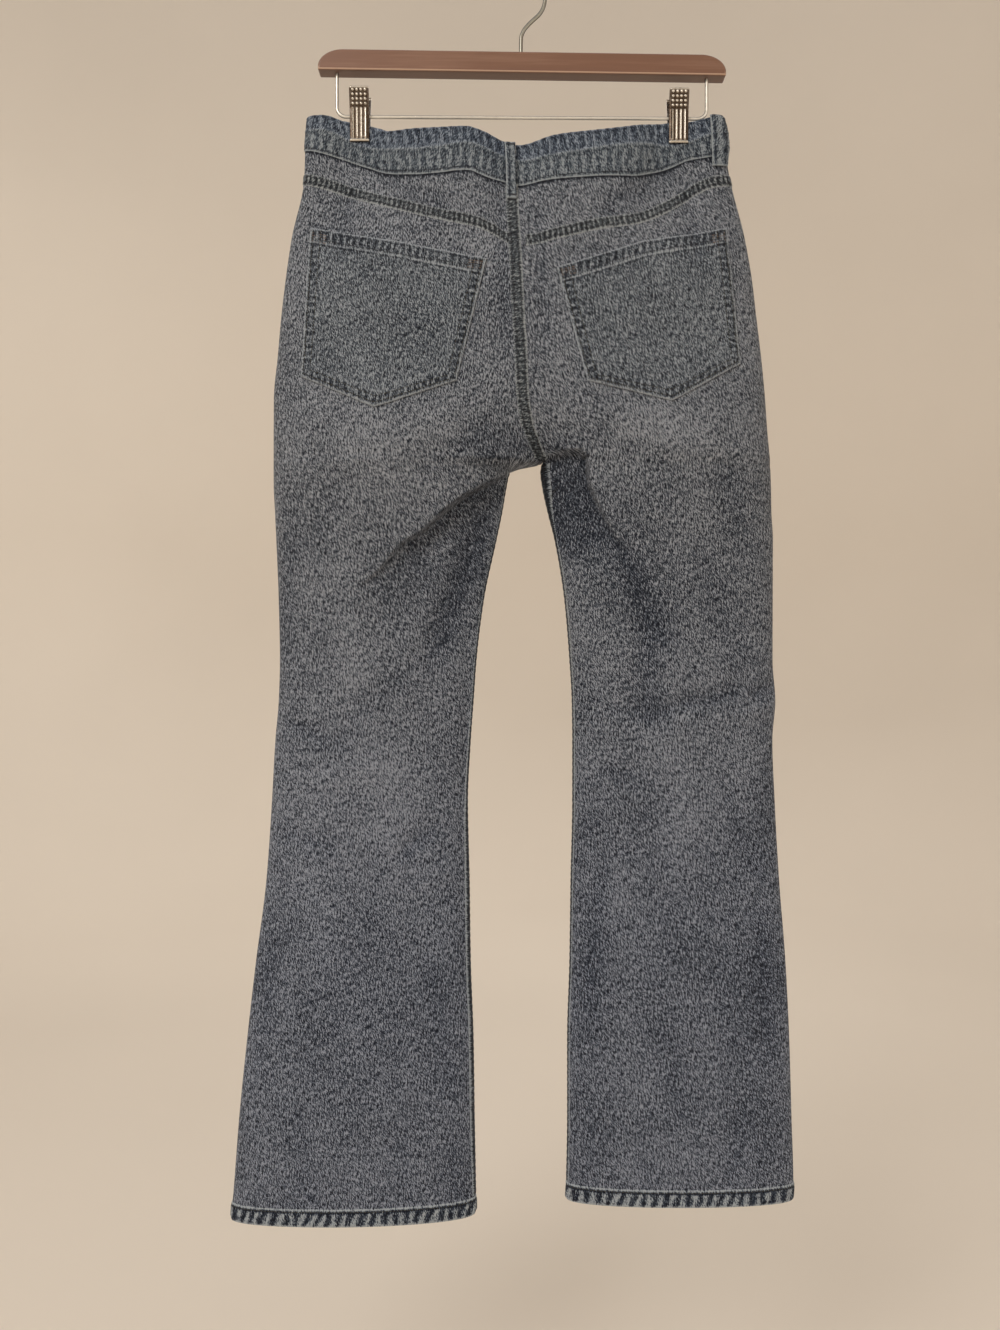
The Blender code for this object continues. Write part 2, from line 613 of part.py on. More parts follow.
def build_zip():
    """The zip: a tape behind the fly's edge, with its slider at the top, closed."""
    drops = np.linspace(*ZIP_DROPS, 8)
    across = np.linspace(-ZIP_WIDTH / 2, ZIP_WIDTH / 2, 3)
    deep = CLOTH + ZIP_STAND
    outer = np.array([[behind(x, drop, deep) for x in across] for drop in drops])
    inner = np.array([[behind(x, drop, deep + ZIP_WALL) for x in across] for drop in drops])
    wall("zip_tape", outer, inner)
    bpy.ops.mesh.primitive_cube_add(size=1.0)
    slider = bpy.context.object
    slider.name = "zip_slider"
    for vertex in slider.data.vertices:
        vertex.co.x *= SLIDER[0] * MM
        vertex.co.y *= SLIDER[1] * MM
        vertex.co.z *= SLIDER[2] * MM
    drop = ZIP_DROPS[0] + SLIDER[2]
    place = behind(0.0, drop, deep + ZIP_WALL + SLIDER[1] / 2 + 0.7)
    slider.location = tuple(place * MM)
    move_to_collection(slider, "brass")


def move_to_collection(made, kind):
    for holder in list(made.users_collection):
        holder.objects.unlink(made)
    bpy.data.collections[COLLECTION].objects.link(made)
    made.data.materials.clear()
    made.data.materials.append(material(kind))


def build_button():
    x = float(column("right_in", BAND_MIDDLE)) + LAP_LENGTH / 2
    drop = float(edge_drop(BAND_TOP_FRONT, x) + edge_drop(BAND_FOOT_FRONT, x)) / 2
    share = np.array(share_at("right", x, drop))
    place = cloth("right", FRONT, share, np.array(drop))
    depth = float(place[1]) + BAND_PROUD + BAND_WALL + LAP_RISE + BUTTON_STAND
    rim = ((0.0, 3.2), (6.0, 3.2), (8.0, 2.6), (BUTTON_RADIUS, 1.6), (BUTTON_RADIUS, 1.0), (5.0, 0.6),
           (5.0, 0.0), (0.0, 0.0))
    mesh = bpy.data.meshes.new("button")
    turned = bmesh.new()
    sides = 20
    last = None
    for radius, height in rim:
        if radius == 0.0:
            ring = [turned.verts.new((0.0, height * MM, 0.0))]
        else:
            ring = [turned.verts.new((radius * MM * math.cos(a), height * MM, radius * MM * math.sin(a)))
                    for a in np.linspace(0, 2 * math.pi, sides, endpoint=False)]
        if last is not None:
            for k in range(sides):
                here = (last[k % len(last)], last[(k + 1) % len(last)])
                there = (ring[(k + 1) % len(ring)], ring[k % len(ring)])
                corners = list(dict.fromkeys(here + there))
                turned.faces.new(corners)
        last = ring
    bmesh.ops.recalc_face_normals(turned, faces=turned.faces[:])
    turned.to_mesh(mesh)
    turned.free()
    made = add_object("button", mesh, "brass")
    made.location = (x * MM, depth * MM, -drop * MM)


# ---- the hanger --------------------------------------------------------------------
def build_bar():
    """The wooden bar: a rounded plank outline, extruded and softened."""
    half, height = BAR_LENGTH / 2, BAR_HEIGHT
    long, fall = BAR_SHOULDER, BAR_SHOULDER_DROP
    turn = np.linspace(0.0, math.pi / 2, 8)
    outline = [(-half + 0.6, -height), (half - 0.6, -height)]
    outline += [(half - long + long * math.cos(a), -fall + fall * math.sin(a)) for a in turn]
    outline += [(-half + long - long * math.cos(a), -fall + fall * math.sin(a)) for a in turn[::-1]]
    mesh = bpy.data.meshes.new("hanger_bar")
    solid = bmesh.new()
    corners = [solid.verts.new((x * MM, -BAR_DEPTH / 2 * MM, z * MM)) for x, z in outline]
    face = solid.faces.new(corners)
    grown = bmesh.ops.extrude_face_region(solid, geom=[face])
    moved = [item for item in grown["geom"] if isinstance(item, bmesh.types.BMVert)]
    bmesh.ops.translate(solid, verts=moved, vec=(0.0, BAR_DEPTH * MM, 0.0))
    bmesh.ops.recalc_face_normals(solid, faces=solid.faces[:])
    solid.to_mesh(mesh)
    solid.free()
    made = add_object("hanger_bar", mesh, "wood")
    made.location = (BAR_CENTRE_X * MM, 0.0, -BAR_TOP * MM)
    made.rotation_euler = (0.0, HANGER_TILT, 0.0)
    soften = made.modifiers.new("soft_edges", "BEVEL")
    soften.width = 1.2 * MM
    soften.segments = 2
    soften.limit_method = "ANGLE"
    return made


def build_hook():
    """The hook: a shank out of the bar, a bend to the right and most of a circle."""
    centre = (0.0, -(HOOK_RADIUS - HOOK_WIRE / 2))
    neck = [(SHANK_X, 0.0, -BAR_TOP + SEAM_GAP), (SHANK_X, 0.0, -58.0), (SHANK_X, 0.0, -50.0),
            (SHANK_X + 1.6, 0.0, -45.0), (SHANK_X + 6.0, 0.0, -41.0), (SHANK_X + 11.5, 0.0, -37.2)]
    loop = arc(centre, HOOK_RADIUS, -42.0, 170.0, 20)
    wire("hanger_hook", neck + loop, HOOK_WIRE)


def rod_drop(x):
    part = (x - ROD_X[0]) / (ROD_X[1] - ROD_X[0])
    return ROD_DROP[0] + (ROD_DROP[1] - ROD_DROP[0]) * part


def bar_foot(x):
    return BAR_TOP + BAR_HEIGHT + math.tan(HANGER_TILT) * (x - BAR_CENTRE_X)


def build_rod():
    """The clip rod: down from the bar's left end, across, and up to its right end."""
    left, right = ROD_X
    points = [(left, 0.0, -bar_foot(left) - SEAM_GAP)]
    points += arc((left + ROD_BEND, -ROD_DROP[0] + ROD_BEND), ROD_BEND, 180.0, 270.0, 6)
    points += arc((right - ROD_BEND, -ROD_DROP[1] + ROD_BEND), ROD_BEND, 270.0, 360.0, 6)
    points.append((right, 0.0, -bar_foot(right) - SEAM_GAP))
    wire("clip_rod", points, ROD_WIRE)


JawPoint = namedtuple("JawPoint", "rise depth")
# The middle of a jaw's plate: rise above the rod, distance from the middle plane.
JAW_PROFILE = (
    JawPoint(-23.9, 4.6), JawPoint(-21.0, 4.4), JawPoint(-8.0, 4.9), JawPoint(-4.0, 5.2),
    JawPoint(0.0, 5.2), JawPoint(5.0, 5.6), JawPoint(13.0, 7.6), JawPoint(21.5, 10.0),
)


def build_clip(name, x):
    """Two pressed jaws either side of the cloth, and the spring barrel round the rod."""
    level = rod_drop(x)
    for face, word in ((BACK, "_jaw_back"), (FRONT, "_jaw_front")):
        across = np.array([-0.5, 0.5]) * JAW_WIDTH + x
        outer = np.array([[(px, face * (row.depth + JAW_WALL / 2), row.rise - level) for px in across]
                          for row in JAW_PROFILE])
        inner = np.array([[(px, face * (row.depth - JAW_WALL / 2), row.rise - level) for px in across]
                          for row in JAW_PROFILE])
        wall(name + word, outer, inner, "steel")
    sleeve = bpy.data.meshes.new(name + "_barrel")
    tube = bmesh.new()
    rings = []
    bore = ROD_WIRE / 2 + SEAM_GAP
    for radius, reach in ((BARREL_RADIUS, -7.0), (BARREL_RADIUS, 7.0), (bore, 7.0), (bore, -7.0)):
        rings.append([tube.verts.new((reach * MM, radius * MM * math.cos(a), radius * MM * math.sin(a)))
                      for a in np.linspace(0, 2 * math.pi, 12, endpoint=False)])
    for here, there in zip(rings, rings[1:] + rings[:1]):
        for k in range(12):
            tube.faces.new([here[k], here[(k + 1) % 12], there[(k + 1) % 12], there[k]])
    bmesh.ops.recalc_face_normals(tube, faces=tube.faces[:])
    tube.to_mesh(sleeve)
    tube.free()
    made = add_object(name + "_barrel", sleeve, "steel")
    made.location = (x * MM, 0.0, -level * MM)
    made.rotation_euler = (0.0, math.atan2(ROD_DROP[1] - ROD_DROP[0], ROD_X[1] - ROD_X[0]), 0.0)


def main():
    for old in list(bpy.data.objects):
        bpy.data.objects.remove(old)
    holder = bpy.data.collections.new(COLLECTION)
    bpy.context.scene.collection.children.link(holder)
    for side in ("left", "right"):
        build_back(side)
        build_front(side)
        build_pocket(side)
        build_band(side)
    for loop in LOOPS:
        build_loop(loop)
    build_fly()
    build_zip()
    build_button()
    build_bar()
    build_hook()
    build_rod()
    build_clip("clip_left", CLIP_X[0])
    build_clip("clip_right", CLIP_X[1])


main()
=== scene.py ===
"""Straight-leg jeans on a wooden clip hanger: the finished surfaces, camera and light.

Sizes are millimetres until a mesh is made; the shapes repeat the frame's own cut, so
each fine piece lies where its solid does. The back of the jeans faces -Y.
"""

import logging
import math
from dataclasses import dataclass, field
from enum import Enum
from typing import Dict, List, Sequence, Tuple

import bpy
import numpy as np
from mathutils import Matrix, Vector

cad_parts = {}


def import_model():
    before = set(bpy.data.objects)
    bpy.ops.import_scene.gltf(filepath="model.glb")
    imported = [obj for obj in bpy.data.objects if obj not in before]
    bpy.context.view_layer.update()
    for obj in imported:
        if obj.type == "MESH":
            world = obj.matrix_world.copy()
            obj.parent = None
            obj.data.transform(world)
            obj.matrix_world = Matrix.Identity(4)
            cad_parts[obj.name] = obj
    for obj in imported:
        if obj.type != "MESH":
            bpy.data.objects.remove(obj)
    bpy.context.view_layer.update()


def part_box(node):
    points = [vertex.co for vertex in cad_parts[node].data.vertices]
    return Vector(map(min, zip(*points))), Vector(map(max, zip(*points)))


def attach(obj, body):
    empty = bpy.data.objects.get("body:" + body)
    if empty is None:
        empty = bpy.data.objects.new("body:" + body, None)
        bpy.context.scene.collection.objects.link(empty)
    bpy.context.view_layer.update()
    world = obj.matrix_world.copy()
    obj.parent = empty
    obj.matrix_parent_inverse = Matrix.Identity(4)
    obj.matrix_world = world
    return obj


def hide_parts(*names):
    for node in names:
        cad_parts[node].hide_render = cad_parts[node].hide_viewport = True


LOG = logging.getLogger("jeans")
MM = 0.001
Array = np.ndarray


class Side(Enum):
    """The wearer's two sides; left is at -X."""

    LEFT = "left"
    RIGHT = "right"


class Face(Enum):
    """The two faces of the hanging jeans and the sign of their Y."""

    BACK = -1.0
    FRONT = 1.0


@dataclass(frozen=True)
class Section:
    """Where the cloth reaches at one drop below the hook, and how far it bulges."""

    drop: float
    left_out: float
    left_in: float
    right_in: float
    right_out: float
    back_left: float
    back_right: float
    front: float


SECTIONS: Tuple[Section, ...] = tuple(Section(*row) for row in (
    (105, -186, -5, -5, 173, 15, 15, 9), (124, -187, -5, -5, 175, 15, 15, 10), (147, -189, -5, -5, 178, 16, 16, 11),
    (178, -190, -5, -5, 183, 19, 19, 12), (231, -201, -2, -2, 196, 24, 24, 14), (266, -206, 0, 0, 202, 28, 28, 15),
    (301, -210, 1, 1, 206, 32, 32, 16), (336, -213, 3, 3, 210, 35, 35, 17), (371, -216, 5, 5, 213, 38, 38, 18),
    (397, -216, 9, 9, 214.5, 40, 40, 18), (415, -216, 16, 16, 216, 40, 40, 18),
    (427, -216, 19, 19, 217, 39, 39, 17), (430, -216, 4, 18, 217, 39, 38, 17),
    (435, -216, -10, 17.5, 217.5, 38, 37, 17), (447, -216, -13, 19, 218, 36, 36, 16),
    (470, -215, -17, 24, 218.5, 33, 34, 16), (494, -214, -22, 30, 220, 30, 31, 15),
    (546, -212, -33, 38.5, 220, 26, 27, 15), (599, -211, -39.5, 43, 220, 24, 24, 14),
    (634, -212, -42, 45, 222.5, 23, 22, 14), (669, -215, -44.5, 45.5, 220, 22, 21, 14),
    (722, -218, -47, 45.5, 222, 21, 20, 14), (792, -223, -45.5, 44, 226, 20, 19, 13),
    (862, -232, -44.5, 43, 231.5, 19, 18, 13), (932, -240, -42, 41, 235, 19, 17, 13),
    (1002, -247, -41, 41, 237, 20, 17, 13), (1055, -251, -40, 40, 238.5, 21, 18, 13),
    (1090, -254, -39.5, 39, 236, 22, 18, 14)))


@dataclass(frozen=True)
class EdgePoint:
    """A point of an edge that runs round the waist: its x and its drop."""

    x: float
    drop: float


def edge_line(*rows: Tuple[float, float]) -> Tuple[EdgePoint, ...]:
    """An edge from rows of x and drop."""
    return tuple(EdgePoint(x, drop) for x, drop in rows)


BAND_TOP_BACK = edge_line(
    (-187, 124), (-172, 124), (-151, 129.5), (-131, 135), (-103, 140), (-76, 139.5), (-48, 138.5),
    (-33, 142.5), (-15, 150.5), (-2, 153), (28, 146), (57, 142.5), (87, 138.5), (126, 130), (147, 128.5),
    (161, 126), (175, 124))
BAND_FOOT_BACK = edge_line(
    (-188, 154.5), (-174, 157.8), (-156, 162), (-139, 168), (-130, 170.8), (-122, 174), (-105, 179),
    (-87, 181.2), (-70, 180.4), (-53, 178.4), (-45, 178.3), (-36, 181.6), (-27, 185), (-18, 187), (-2, 190.5),
    (8, 189), (16, 187.2), (25, 186.2), (33, 185.6), (51, 184.4), (68, 183), (85, 182.2), (95, 181.4),
    (103, 179.6), (111, 176.6), (120, 173.4), (128, 170.6), (137, 166.6), (145, 163), (154, 161.2),
    (163, 160.6), (171, 159.6), (178, 157.5))
YOKE_FOOT = edge_line(
    (-191, 184), (-168, 190), (-144, 198), (-109, 209.5), (-83, 218), (-58, 224.5), (-38, 229),
    (-24, 235.5), (-3, 246), (33, 238.5), (68, 230), (103, 223), (121, 214.5), (140, 202.5),
    (155, 192.5), (167, 187.5), (183, 185.5))
BAND_TOP_FRONT = edge_line(
    (-187, 124), (-165, 125), (-141, 129), (-118, 134), (-60, 146), (-2, 152), (60, 146),
    (112, 134), (137, 129), (160, 125.5), (175, 124))
BAND_FOOT_FRONT = edge_line(
    (-188, 153), (-165, 160), (-141, 167), (-118, 172), (-60, 184), (-2, 190), (60, 184),
    (112, 172), (137, 167), (160, 160), (178, 155))


@dataclass(frozen=True)
class FoldPoint:
    """A point of a large fold's line and how far the cloth steps back there."""

    x: float
    drop: float
    step: float


SEAT_FOLD: Tuple[FoldPoint, ...] = tuple(FoldPoint(*row) for row in (
    (-213, 545, 0), (-150, 540, 0), (-126, 526, 3), (-99, 497, 9), (-88, 491, 12), (-71, 476, 15), (-56, 463, 16),
    (-39, 452, 16), (-20, 442, 13), (-10, 436, 6)))
NOOK_FOLD: Tuple[FoldPoint, ...] = tuple(FoldPoint(*row) for row in (
    (21, 425, 8), (35, 422.5, 11), (49, 422.5, 11), (55.5, 427, 11), (57, 449, 11), (66, 469, 9), (77, 490, 6),
    (100, 525, 0)))


@dataclass(frozen=True)
class Crease:
    """A soft trough (negative rise) or ridge between two points of one face."""

    face: Face
    x0: float
    drop0: float
    x1: float
    drop1: float
    rise: float
    width: float


BACK_CREASES: Tuple[Tuple[float, ...], ...] = (
    # from x, drop      to x, drop       rise  width
    (-128, 172, -62, 214, -1.6, 8), (-146, 178, -158, 262, -1.3, 8), (-134, 190, -100, 250, 1.0, 10),
    (132, 172, 66, 216, -1.6, 8), (141, 178, 152, 262, -1.3, 8), (128, 190, 96, 250, 1.0, 10),
    (-19, 200, -12, 340, -1.4, 7), (15, 200, 20, 340, -1.4, 7),
    (-60, 398, -160, 428, 1.6, 20), (70, 396, 165, 420, 1.6, 20), (-30, 405, -95, 440, -1.2, 11),
    (62, 402, 130, 445, -1.0, 12), (-150, 440, -185, 520, -1.3, 13), (165, 430, 192, 520, -1.3, 13),
    (-32, 474, -78, 600, -2.6, 12), (-58, 484, -112, 640, 1.6, 14), (-196, 470, -206, 610, -1.5, 10),
    (-150, 520, -140, 640, 1.4, 18), (-90, 600, -150, 650, -1.3, 12),
    (-106, 768, -74, 741, -2.3, 7), (-204, 652, -150, 672, -1.7, 8), (-180, 704, -118, 690, 1.3, 10),
    (-205, 745, -160, 760, -1.2, 9), (-98, 800, -60, 778, 1.1, 8), (-212, 830, -226, 965, -1.1, 9),
    (-82, 850, -66, 975, -1.3, 9), (-150, 905, -128, 1005, 1.0, 16), (-190, 985, -182, 1066, -1.2, 9),
    (-110, 1000, -98, 1066, -1.0, 8), (-64, 1010, -56, 1064, -0.9, 6),
    (84, 498, 122, 586, -2.7, 11), (104, 560, 112, 650, -2.0, 11), (150, 500, 190, 610, -1.5, 13),
    (116, 642, 190, 624, -2.3, 7), (196, 630, 222, 620, -2.2, 6), (188, 648, 223, 636, 1.6, 6),
    (80, 640, 128, 652, -1.5, 8), (64, 690, 110, 704, -1.1, 9), (170, 700, 204, 782, -1.3, 9),
    (72, 762, 58, 905, -1.3, 8), (140, 720, 128, 800, 1.3, 15), (204, 820, 214, 950, -1.2, 9),
    (120, 900, 136, 1000, -0.9, 14), (104, 990, 112, 1052, -0.9, 8), (188, 980, 180, 1052, -1.1, 8),
    (60, 1000, 58, 1050, -0.8, 6))
FRONT_CREASES: Tuple[Tuple[float, ...], ...] = (
    (12, 398, -92, 352, -2.0, 8), (8, 412, -100, 398, -2.1, 8), (2, 424, -84, 440, -1.8, 9),
    (26, 398, 118, 350, -2.0, 8), (30, 412, 116, 396, -2.1, 8), (34, 424, 104, 440, -1.8, 9),
    (-126, 172, -70, 230, -1.4, 8), (122, 172, 74, 232, -1.4, 8), (-60, 300, -170, 330, 1.2, 14),
    (70, 300, 172, 326, 1.2, 14), (-160, 690, -88, 712, -2.0, 9), (-150, 735, -84, 742, -1.6, 8),
    (-170, 770, -110, 756, 1.4, 10), (84, 676, 150, 694, -2.0, 9), (96, 722, 176, 716, -1.6, 8),
    (100, 760, 160, 766, 1.4, 10), (-60, 480, -110, 620, -1.6, 12), (70, 480, 118, 610, -1.6, 12),
    (-200, 850, -214, 990, -1.0, 9), (-90, 860, -72, 980, -1.1, 9), (190, 840, 206, 970, -1.0, 9),
    (80, 850, 66, 980, -1.1, 9), (-140, 960, -132, 1050, 0.9, 14), (136, 950, 132, 1040, 0.9, 14))
CREASES: Tuple[Crease, ...] = tuple(
    [Crease(Face.BACK, *row) for row in BACK_CREASES] + [Crease(Face.FRONT, *row) for row in FRONT_CREASES])


def smooth_curve(at: Array, xs: Sequence[float], ys: Sequence[float]) -> Array:
    """Reads a monotone cubic through a table's rows, level beyond its ends.

    Args:
        at: Where the curve is read.
        xs: The rows' places, rising.
        ys: The rows' values.

    Returns:
        The curve's values.
    """
    xs = np.asarray(xs, float)
    ys = np.asarray(ys, float)
    at = np.clip(np.asarray(at, float), xs[0], xs[-1])
    step = np.diff(xs)
    rise = np.diff(ys) / step
    slope = np.zeros_like(xs)
    slope[0], slope[-1] = rise[0], rise[-1]
    for k in range(1, len(xs) - 1):
        if rise[k - 1] * rise[k] > 0:
            w1 = 2 * step[k] + step[k - 1]
            w2 = step[k] + 2 * step[k - 1]
            slope[k] = (w1 + w2) / (w1 / rise[k - 1] + w2 / rise[k])
    k = np.clip(np.searchsorted(xs, at, side="right") - 1, 0, len(xs) - 2)
    t = (at - xs[k]) / step[k]
    return (ys[k] * (1 + 2 * t) * (1 - t) ** 2 + slope[k] * step[k] * t * (1 - t) ** 2
            + ys[k + 1] * t * t * (3 - 2 * t) + slope[k + 1] * step[k] * t * t * (t - 1))


def ramp(value: Array) -> Array:
    """A smooth step from 0 to 1."""
    value = np.clip(value, 0.0, 1.0)
    return value * value * (3 - 2 * value)


def bell(value: Array, centre: Array, half: float) -> Array:
    """A soft hump of height 1 at its centre, down to a third at half away."""
    return np.exp(-((value - centre) / half) ** 2)


def bump_line(x: Array, drop: Array, ax: float, ad: float, bx: float, bd: float, width: float) -> Array:
    """A soft ridge of height 1 along a line, dying out past its ends.

    Args:
        x: Places across.
        drop: Places down.
        ax: The line's start across.
        ad: The line's start down.
        bx: The line's end across.
        bd: The line's end down.
        width: How far to its side the ridge has died out to a third.

    Returns:
        The ridge's height at each place.
    """
    lx, ld = bx - ax, bd - ad
    length = math.hypot(lx, ld)
    t = ((x - ax) * lx + (drop - ad) * ld) / (length * length)
    away = np.abs((x - ax) * ld - (drop - ad) * lx) / length
    ends = ramp((t + 0.15) / 0.35) * ramp((1.15 - t) / 0.35)
    taper = width * (0.75 + 0.5 * np.clip(t, 0, 1))
    return bell(away, 0.0, taper) * ends


@dataclass
class Garment:
    """The cloth's surface, from its cut: every piece of denim takes its points from it."""

    roundness: float = 0.75
    seat_start: float = 330.0
    crotch: float = 427.0
    pinch_depth: float = 2.6
    pinch_flat: float = 12.0
    pinch_fade: Tuple[float, float] = (148.0, 262.0)
    pinch_reach: Tuple[float, float] = (20.0, 26.0)
    clip_x: Tuple[float, float] = (-141.0, 137.5)
    centre_tuck: float = 0.35
    centre_tuck_width: float = 26.0
    seat_fold_rise: float = 2.0
    nook_rise: float = 2.4
    nook_edge: float = 1.3
    fold_edge_fade: float = 0.35
    fold_fade: float = 190.0
    fold_share: float = 0.62
    nook_foot: Tuple[float, float] = (470.0, 70.0)
    loose: Tuple[float, float] = (150.0, 60.0)
    normal_step: Tuple[float, float] = (0.004, 0.8)
    seam_gap: float = 0.3
    hem_height: float = 15.0
    hems: Dict[Side, Tuple[float, float]] = field(
        default_factory=lambda: {Side.LEFT: (1087.0, 1082.0), Side.RIGHT: (1070.0, 1070.0)})

    def column(self, name: str, drop: Array) -> Array:
        """One column of the sections, read at the drops."""
        return smooth_curve(drop, [row.drop for row in SECTIONS], [getattr(row, name) for row in SECTIONS])

    def edge_drop(self, edge: Sequence[EdgePoint], x: Array) -> Array:
        """The drop of an edge at each x."""
        return smooth_curve(x, [row.x for row in edge], [row.drop for row in edge])

    def end_angle(self, drop: Array) -> Array:
        """A quarter turn above the seat, growing to a half turn where the leg closes."""
        t = np.clip((np.asarray(drop, float) - self.seat_start) / (self.crotch - self.seat_start), 0.0, 1.0)
        height = np.sqrt(1 - t * t)
        return math.pi - np.arcsin(height ** (1 / self.roundness))

    def pinch(self, x: Array, drop: Array, depth: Array) -> Array:
        """Draws the waist in between the clips' jaws and at the centre back.

        Args:
            x: Places across.
            drop: Places down.
            depth: The cloth's distance from the middle plane.

        Returns:
            That distance with the waist drawn in.
        """
        fade = 1 - ramp((drop - self.pinch_fade[0]) / (self.pinch_fade[1] - self.pinch_fade[0]))
        reach = self.pinch_reach[0] + self.pinch_reach[1] * (1 - fade)
        for clip in self.clip_x:
            off = np.maximum(np.abs(x - clip) - self.pinch_flat, 0.0) / reach
            grip = np.exp(-off * off) * fade
            held = np.sign(depth) * np.minimum(np.abs(depth), self.pinch_depth)
            depth = depth * (1 - grip) + held * grip
        tuck = self.centre_tuck * bell(x, -2.0, self.centre_tuck_width) * fade
        return depth * (1 - tuck)

    def seat_fold(self, x: Array, drop: Array) -> Array:
        """How far the left leg is set back under the seat's lower edge."""
        xs = [row.x for row in SEAT_FOLD]
        line = smooth_curve(x, xs, [row.drop for row in SEAT_FOLD])
        step = smooth_curve(x, xs, [row.step for row in SEAT_FOLD])
        below = drop - line
        return step * ramp(below / self.seat_fold_rise) * np.exp(-np.maximum(below, 0) / self.fold_fade)

    def nook_fold(self, x: Array, drop: Array, rise: float) -> Array:
        """How far the hollow beside the right inseam is set back.

        Args:
            x: Places across.
            drop: Places down.
            rise: The width over which its edge falls.

        Returns:
            The setback at each place.
        """
        nearest = np.full(np.shape(x), 1e9)
        step = np.zeros(np.shape(x))
        for a, b in zip(NOOK_FOLD, NOOK_FOLD[1:]):
            ax, ad = b.x - a.x, b.drop - a.drop
            t = np.clip(((x - a.x) * ax + (drop - a.drop) * ad) / (ax * ax + ad * ad), 0, 1)
            away = np.hypot(x - a.x - t * ax, drop - a.drop - t * ad)
            inside = (x - a.x) * ad - (drop - a.drop) * ax < 0
            closer = away < nearest - 1e-6
            nearest = np.where(closer, away, nearest)
            signed = np.where(inside, away, -away)
            height = (a.step + t * (b.step - a.step)) * ramp(signed / rise + 0.5)
            step = np.where(closer, height, step)
        return step * (1 - ramp((drop - self.nook_foot[0]) / self.nook_foot[1]))

    def creasing(self, face: Face, x: Array, drop: Array) -> Array:
        """The soft creases' rise at each place of a face."""
        rise = np.zeros(np.shape(x))
        for crease in CREASES:
            if crease.face is face:
                rise = rise + crease.rise * bump_line(
                    x, drop, crease.x0, crease.drop0, crease.x1, crease.drop1, crease.width)
        return rise

    def cloth(self, side: Side, face: Face, u: Array, drop: Array) -> Array:
        """Points of the cloth.

        Args:
            side: The wearer's side.
            face: The back or the front.
            u: 0 at the side seam to 1 at the centre seam or inseam.
            drop: Drops below the hook's seat.

        Returns:
            An array of points, with a last axis of x, y and z.
        """
        u = np.asarray(u, float)
        drop = np.asarray(drop, float)
        outer = self.column(side.value + "_out", drop)
        inner = self.column(side.value + "_in", drop)
        end = self.end_angle(drop)
        phi = u * end
        x = outer + (inner - outer) * (1 - np.cos(phi)) / (1 - np.cos(end))
        bulge = self.column("front" if face is Face.FRONT else "back_" + side.value, drop)
        wave = np.sin(phi)
        depth = bulge * np.sign(wave) * np.abs(wave) ** self.roundness
        depth = self.pinch(x, drop, depth)
        edge = ramp(np.abs(wave) / self.fold_edge_fade)
        if face is Face.BACK:
            fold = self.seat_fold(x, drop) if side is Side.LEFT else self.nook_fold(x, drop, self.nook_rise)
            depth = depth - np.minimum(fold * edge, self.fold_share * np.abs(depth))
        loose = ramp((drop - self.loose[0]) / self.loose[1])
        depth = depth + self.creasing(face, x, drop) * ramp(np.abs(wave) / 0.3) * loose
        return np.stack([x, face.value * depth, -drop], axis=-1)

    def share_at(self, side: Side, x: Array, drop: Array) -> Array:
        """The u of a point of the cloth that is given by its x."""
        outer = self.column(side.value + "_out", drop)
        inner = self.column(side.value + "_in", drop)
        end = self.end_angle(drop)
        part = np.clip((x - outer) / (inner - outer), 0.0, 1.0)
        return np.arccos(1 - part * (1 - np.cos(end))) / end

    def outward(self, side: Side, face: Face, u: Array, drop: Array) -> Array:
        """Unit normals of the cloth, pointing away from the wearer."""
        du, dd = self.normal_step
        along = self.cloth(side, face, u + du, drop) - self.cloth(side, face, u - du, drop)
        down = self.cloth(side, face, u, drop + dd) - self.cloth(side, face, u, drop - dd)
        normal = np.cross(along, down)
        normal /= np.linalg.norm(normal, axis=-1, keepdims=True)
        return normal * (-1.0 if (side is Side.LEFT) == (face is Face.BACK) else 1.0)

    def seam_clear(self, points: Array, side: Side, face: Face, u: Array, drop: Array) -> Array:
        """Stops a wall half a seam gap short of the plane that its seam lies in."""
        points = points.copy()
        points[..., 1] = face.value * np.maximum(face.value * points[..., 1], self.seam_gap / 2)
        centre = (drop < self.crotch + 0.5) & (u > 0.5)
        line = self.column(side.value + "_in", np.minimum(drop, self.crotch))
        gap = self.seam_gap / 2
        if side is Side.LEFT:
            limit = np.minimum(points[..., 0], line - gap)
        else:
            limit = np.maximum(points[..., 0], line + gap)
        points[..., 0] = np.where(centre, limit, points[..., 0])
        return points

    def edge_along(self, edge: Sequence[EdgePoint], side: Side, face: Face, u: Array) -> Array:
        """The drop of an edge at each u, met by steps because the edge is a table over x."""
        drop = np.full(np.shape(u), 170.0)
        for _ in range(6):
            drop = self.edge_drop(edge, self.cloth(side, face, u, drop)[..., 0])
        return drop

    def hem_drop(self, side: Side, u: Array) -> Array:
        """The drop of a leg's lower edge."""
        outer, inner = self.hems[side]
        return outer + (inner - outer) * np.asarray(u, float)


def new_mesh(name: str, points: Array, faces: Sequence[Sequence[int]], sharp: float = 50.0) -> bpy.types.Object:
    """Makes a smooth-shaded mesh object.

    Args:
        name: The object's name.
        points: Its points in millimetres.
        faces: Its faces as point numbers.
        sharp: The angle in degrees above which an edge stays sharp.

    Returns:
        The object, in the scene.
    """
    mesh = bpy.data.meshes.new(name)
    mesh.from_pydata((np.asarray(points, float) * MM).tolist(), [], [tuple(face) for face in faces])
    mesh.polygons.foreach_set("use_smooth", np.ones(len(mesh.polygons), bool))
    mesh.set_sharp_from_angle(angle=math.radians(sharp))
    made = bpy.data.objects.new(name, mesh)
    bpy.context.scene.collection.objects.link(made)
    return made


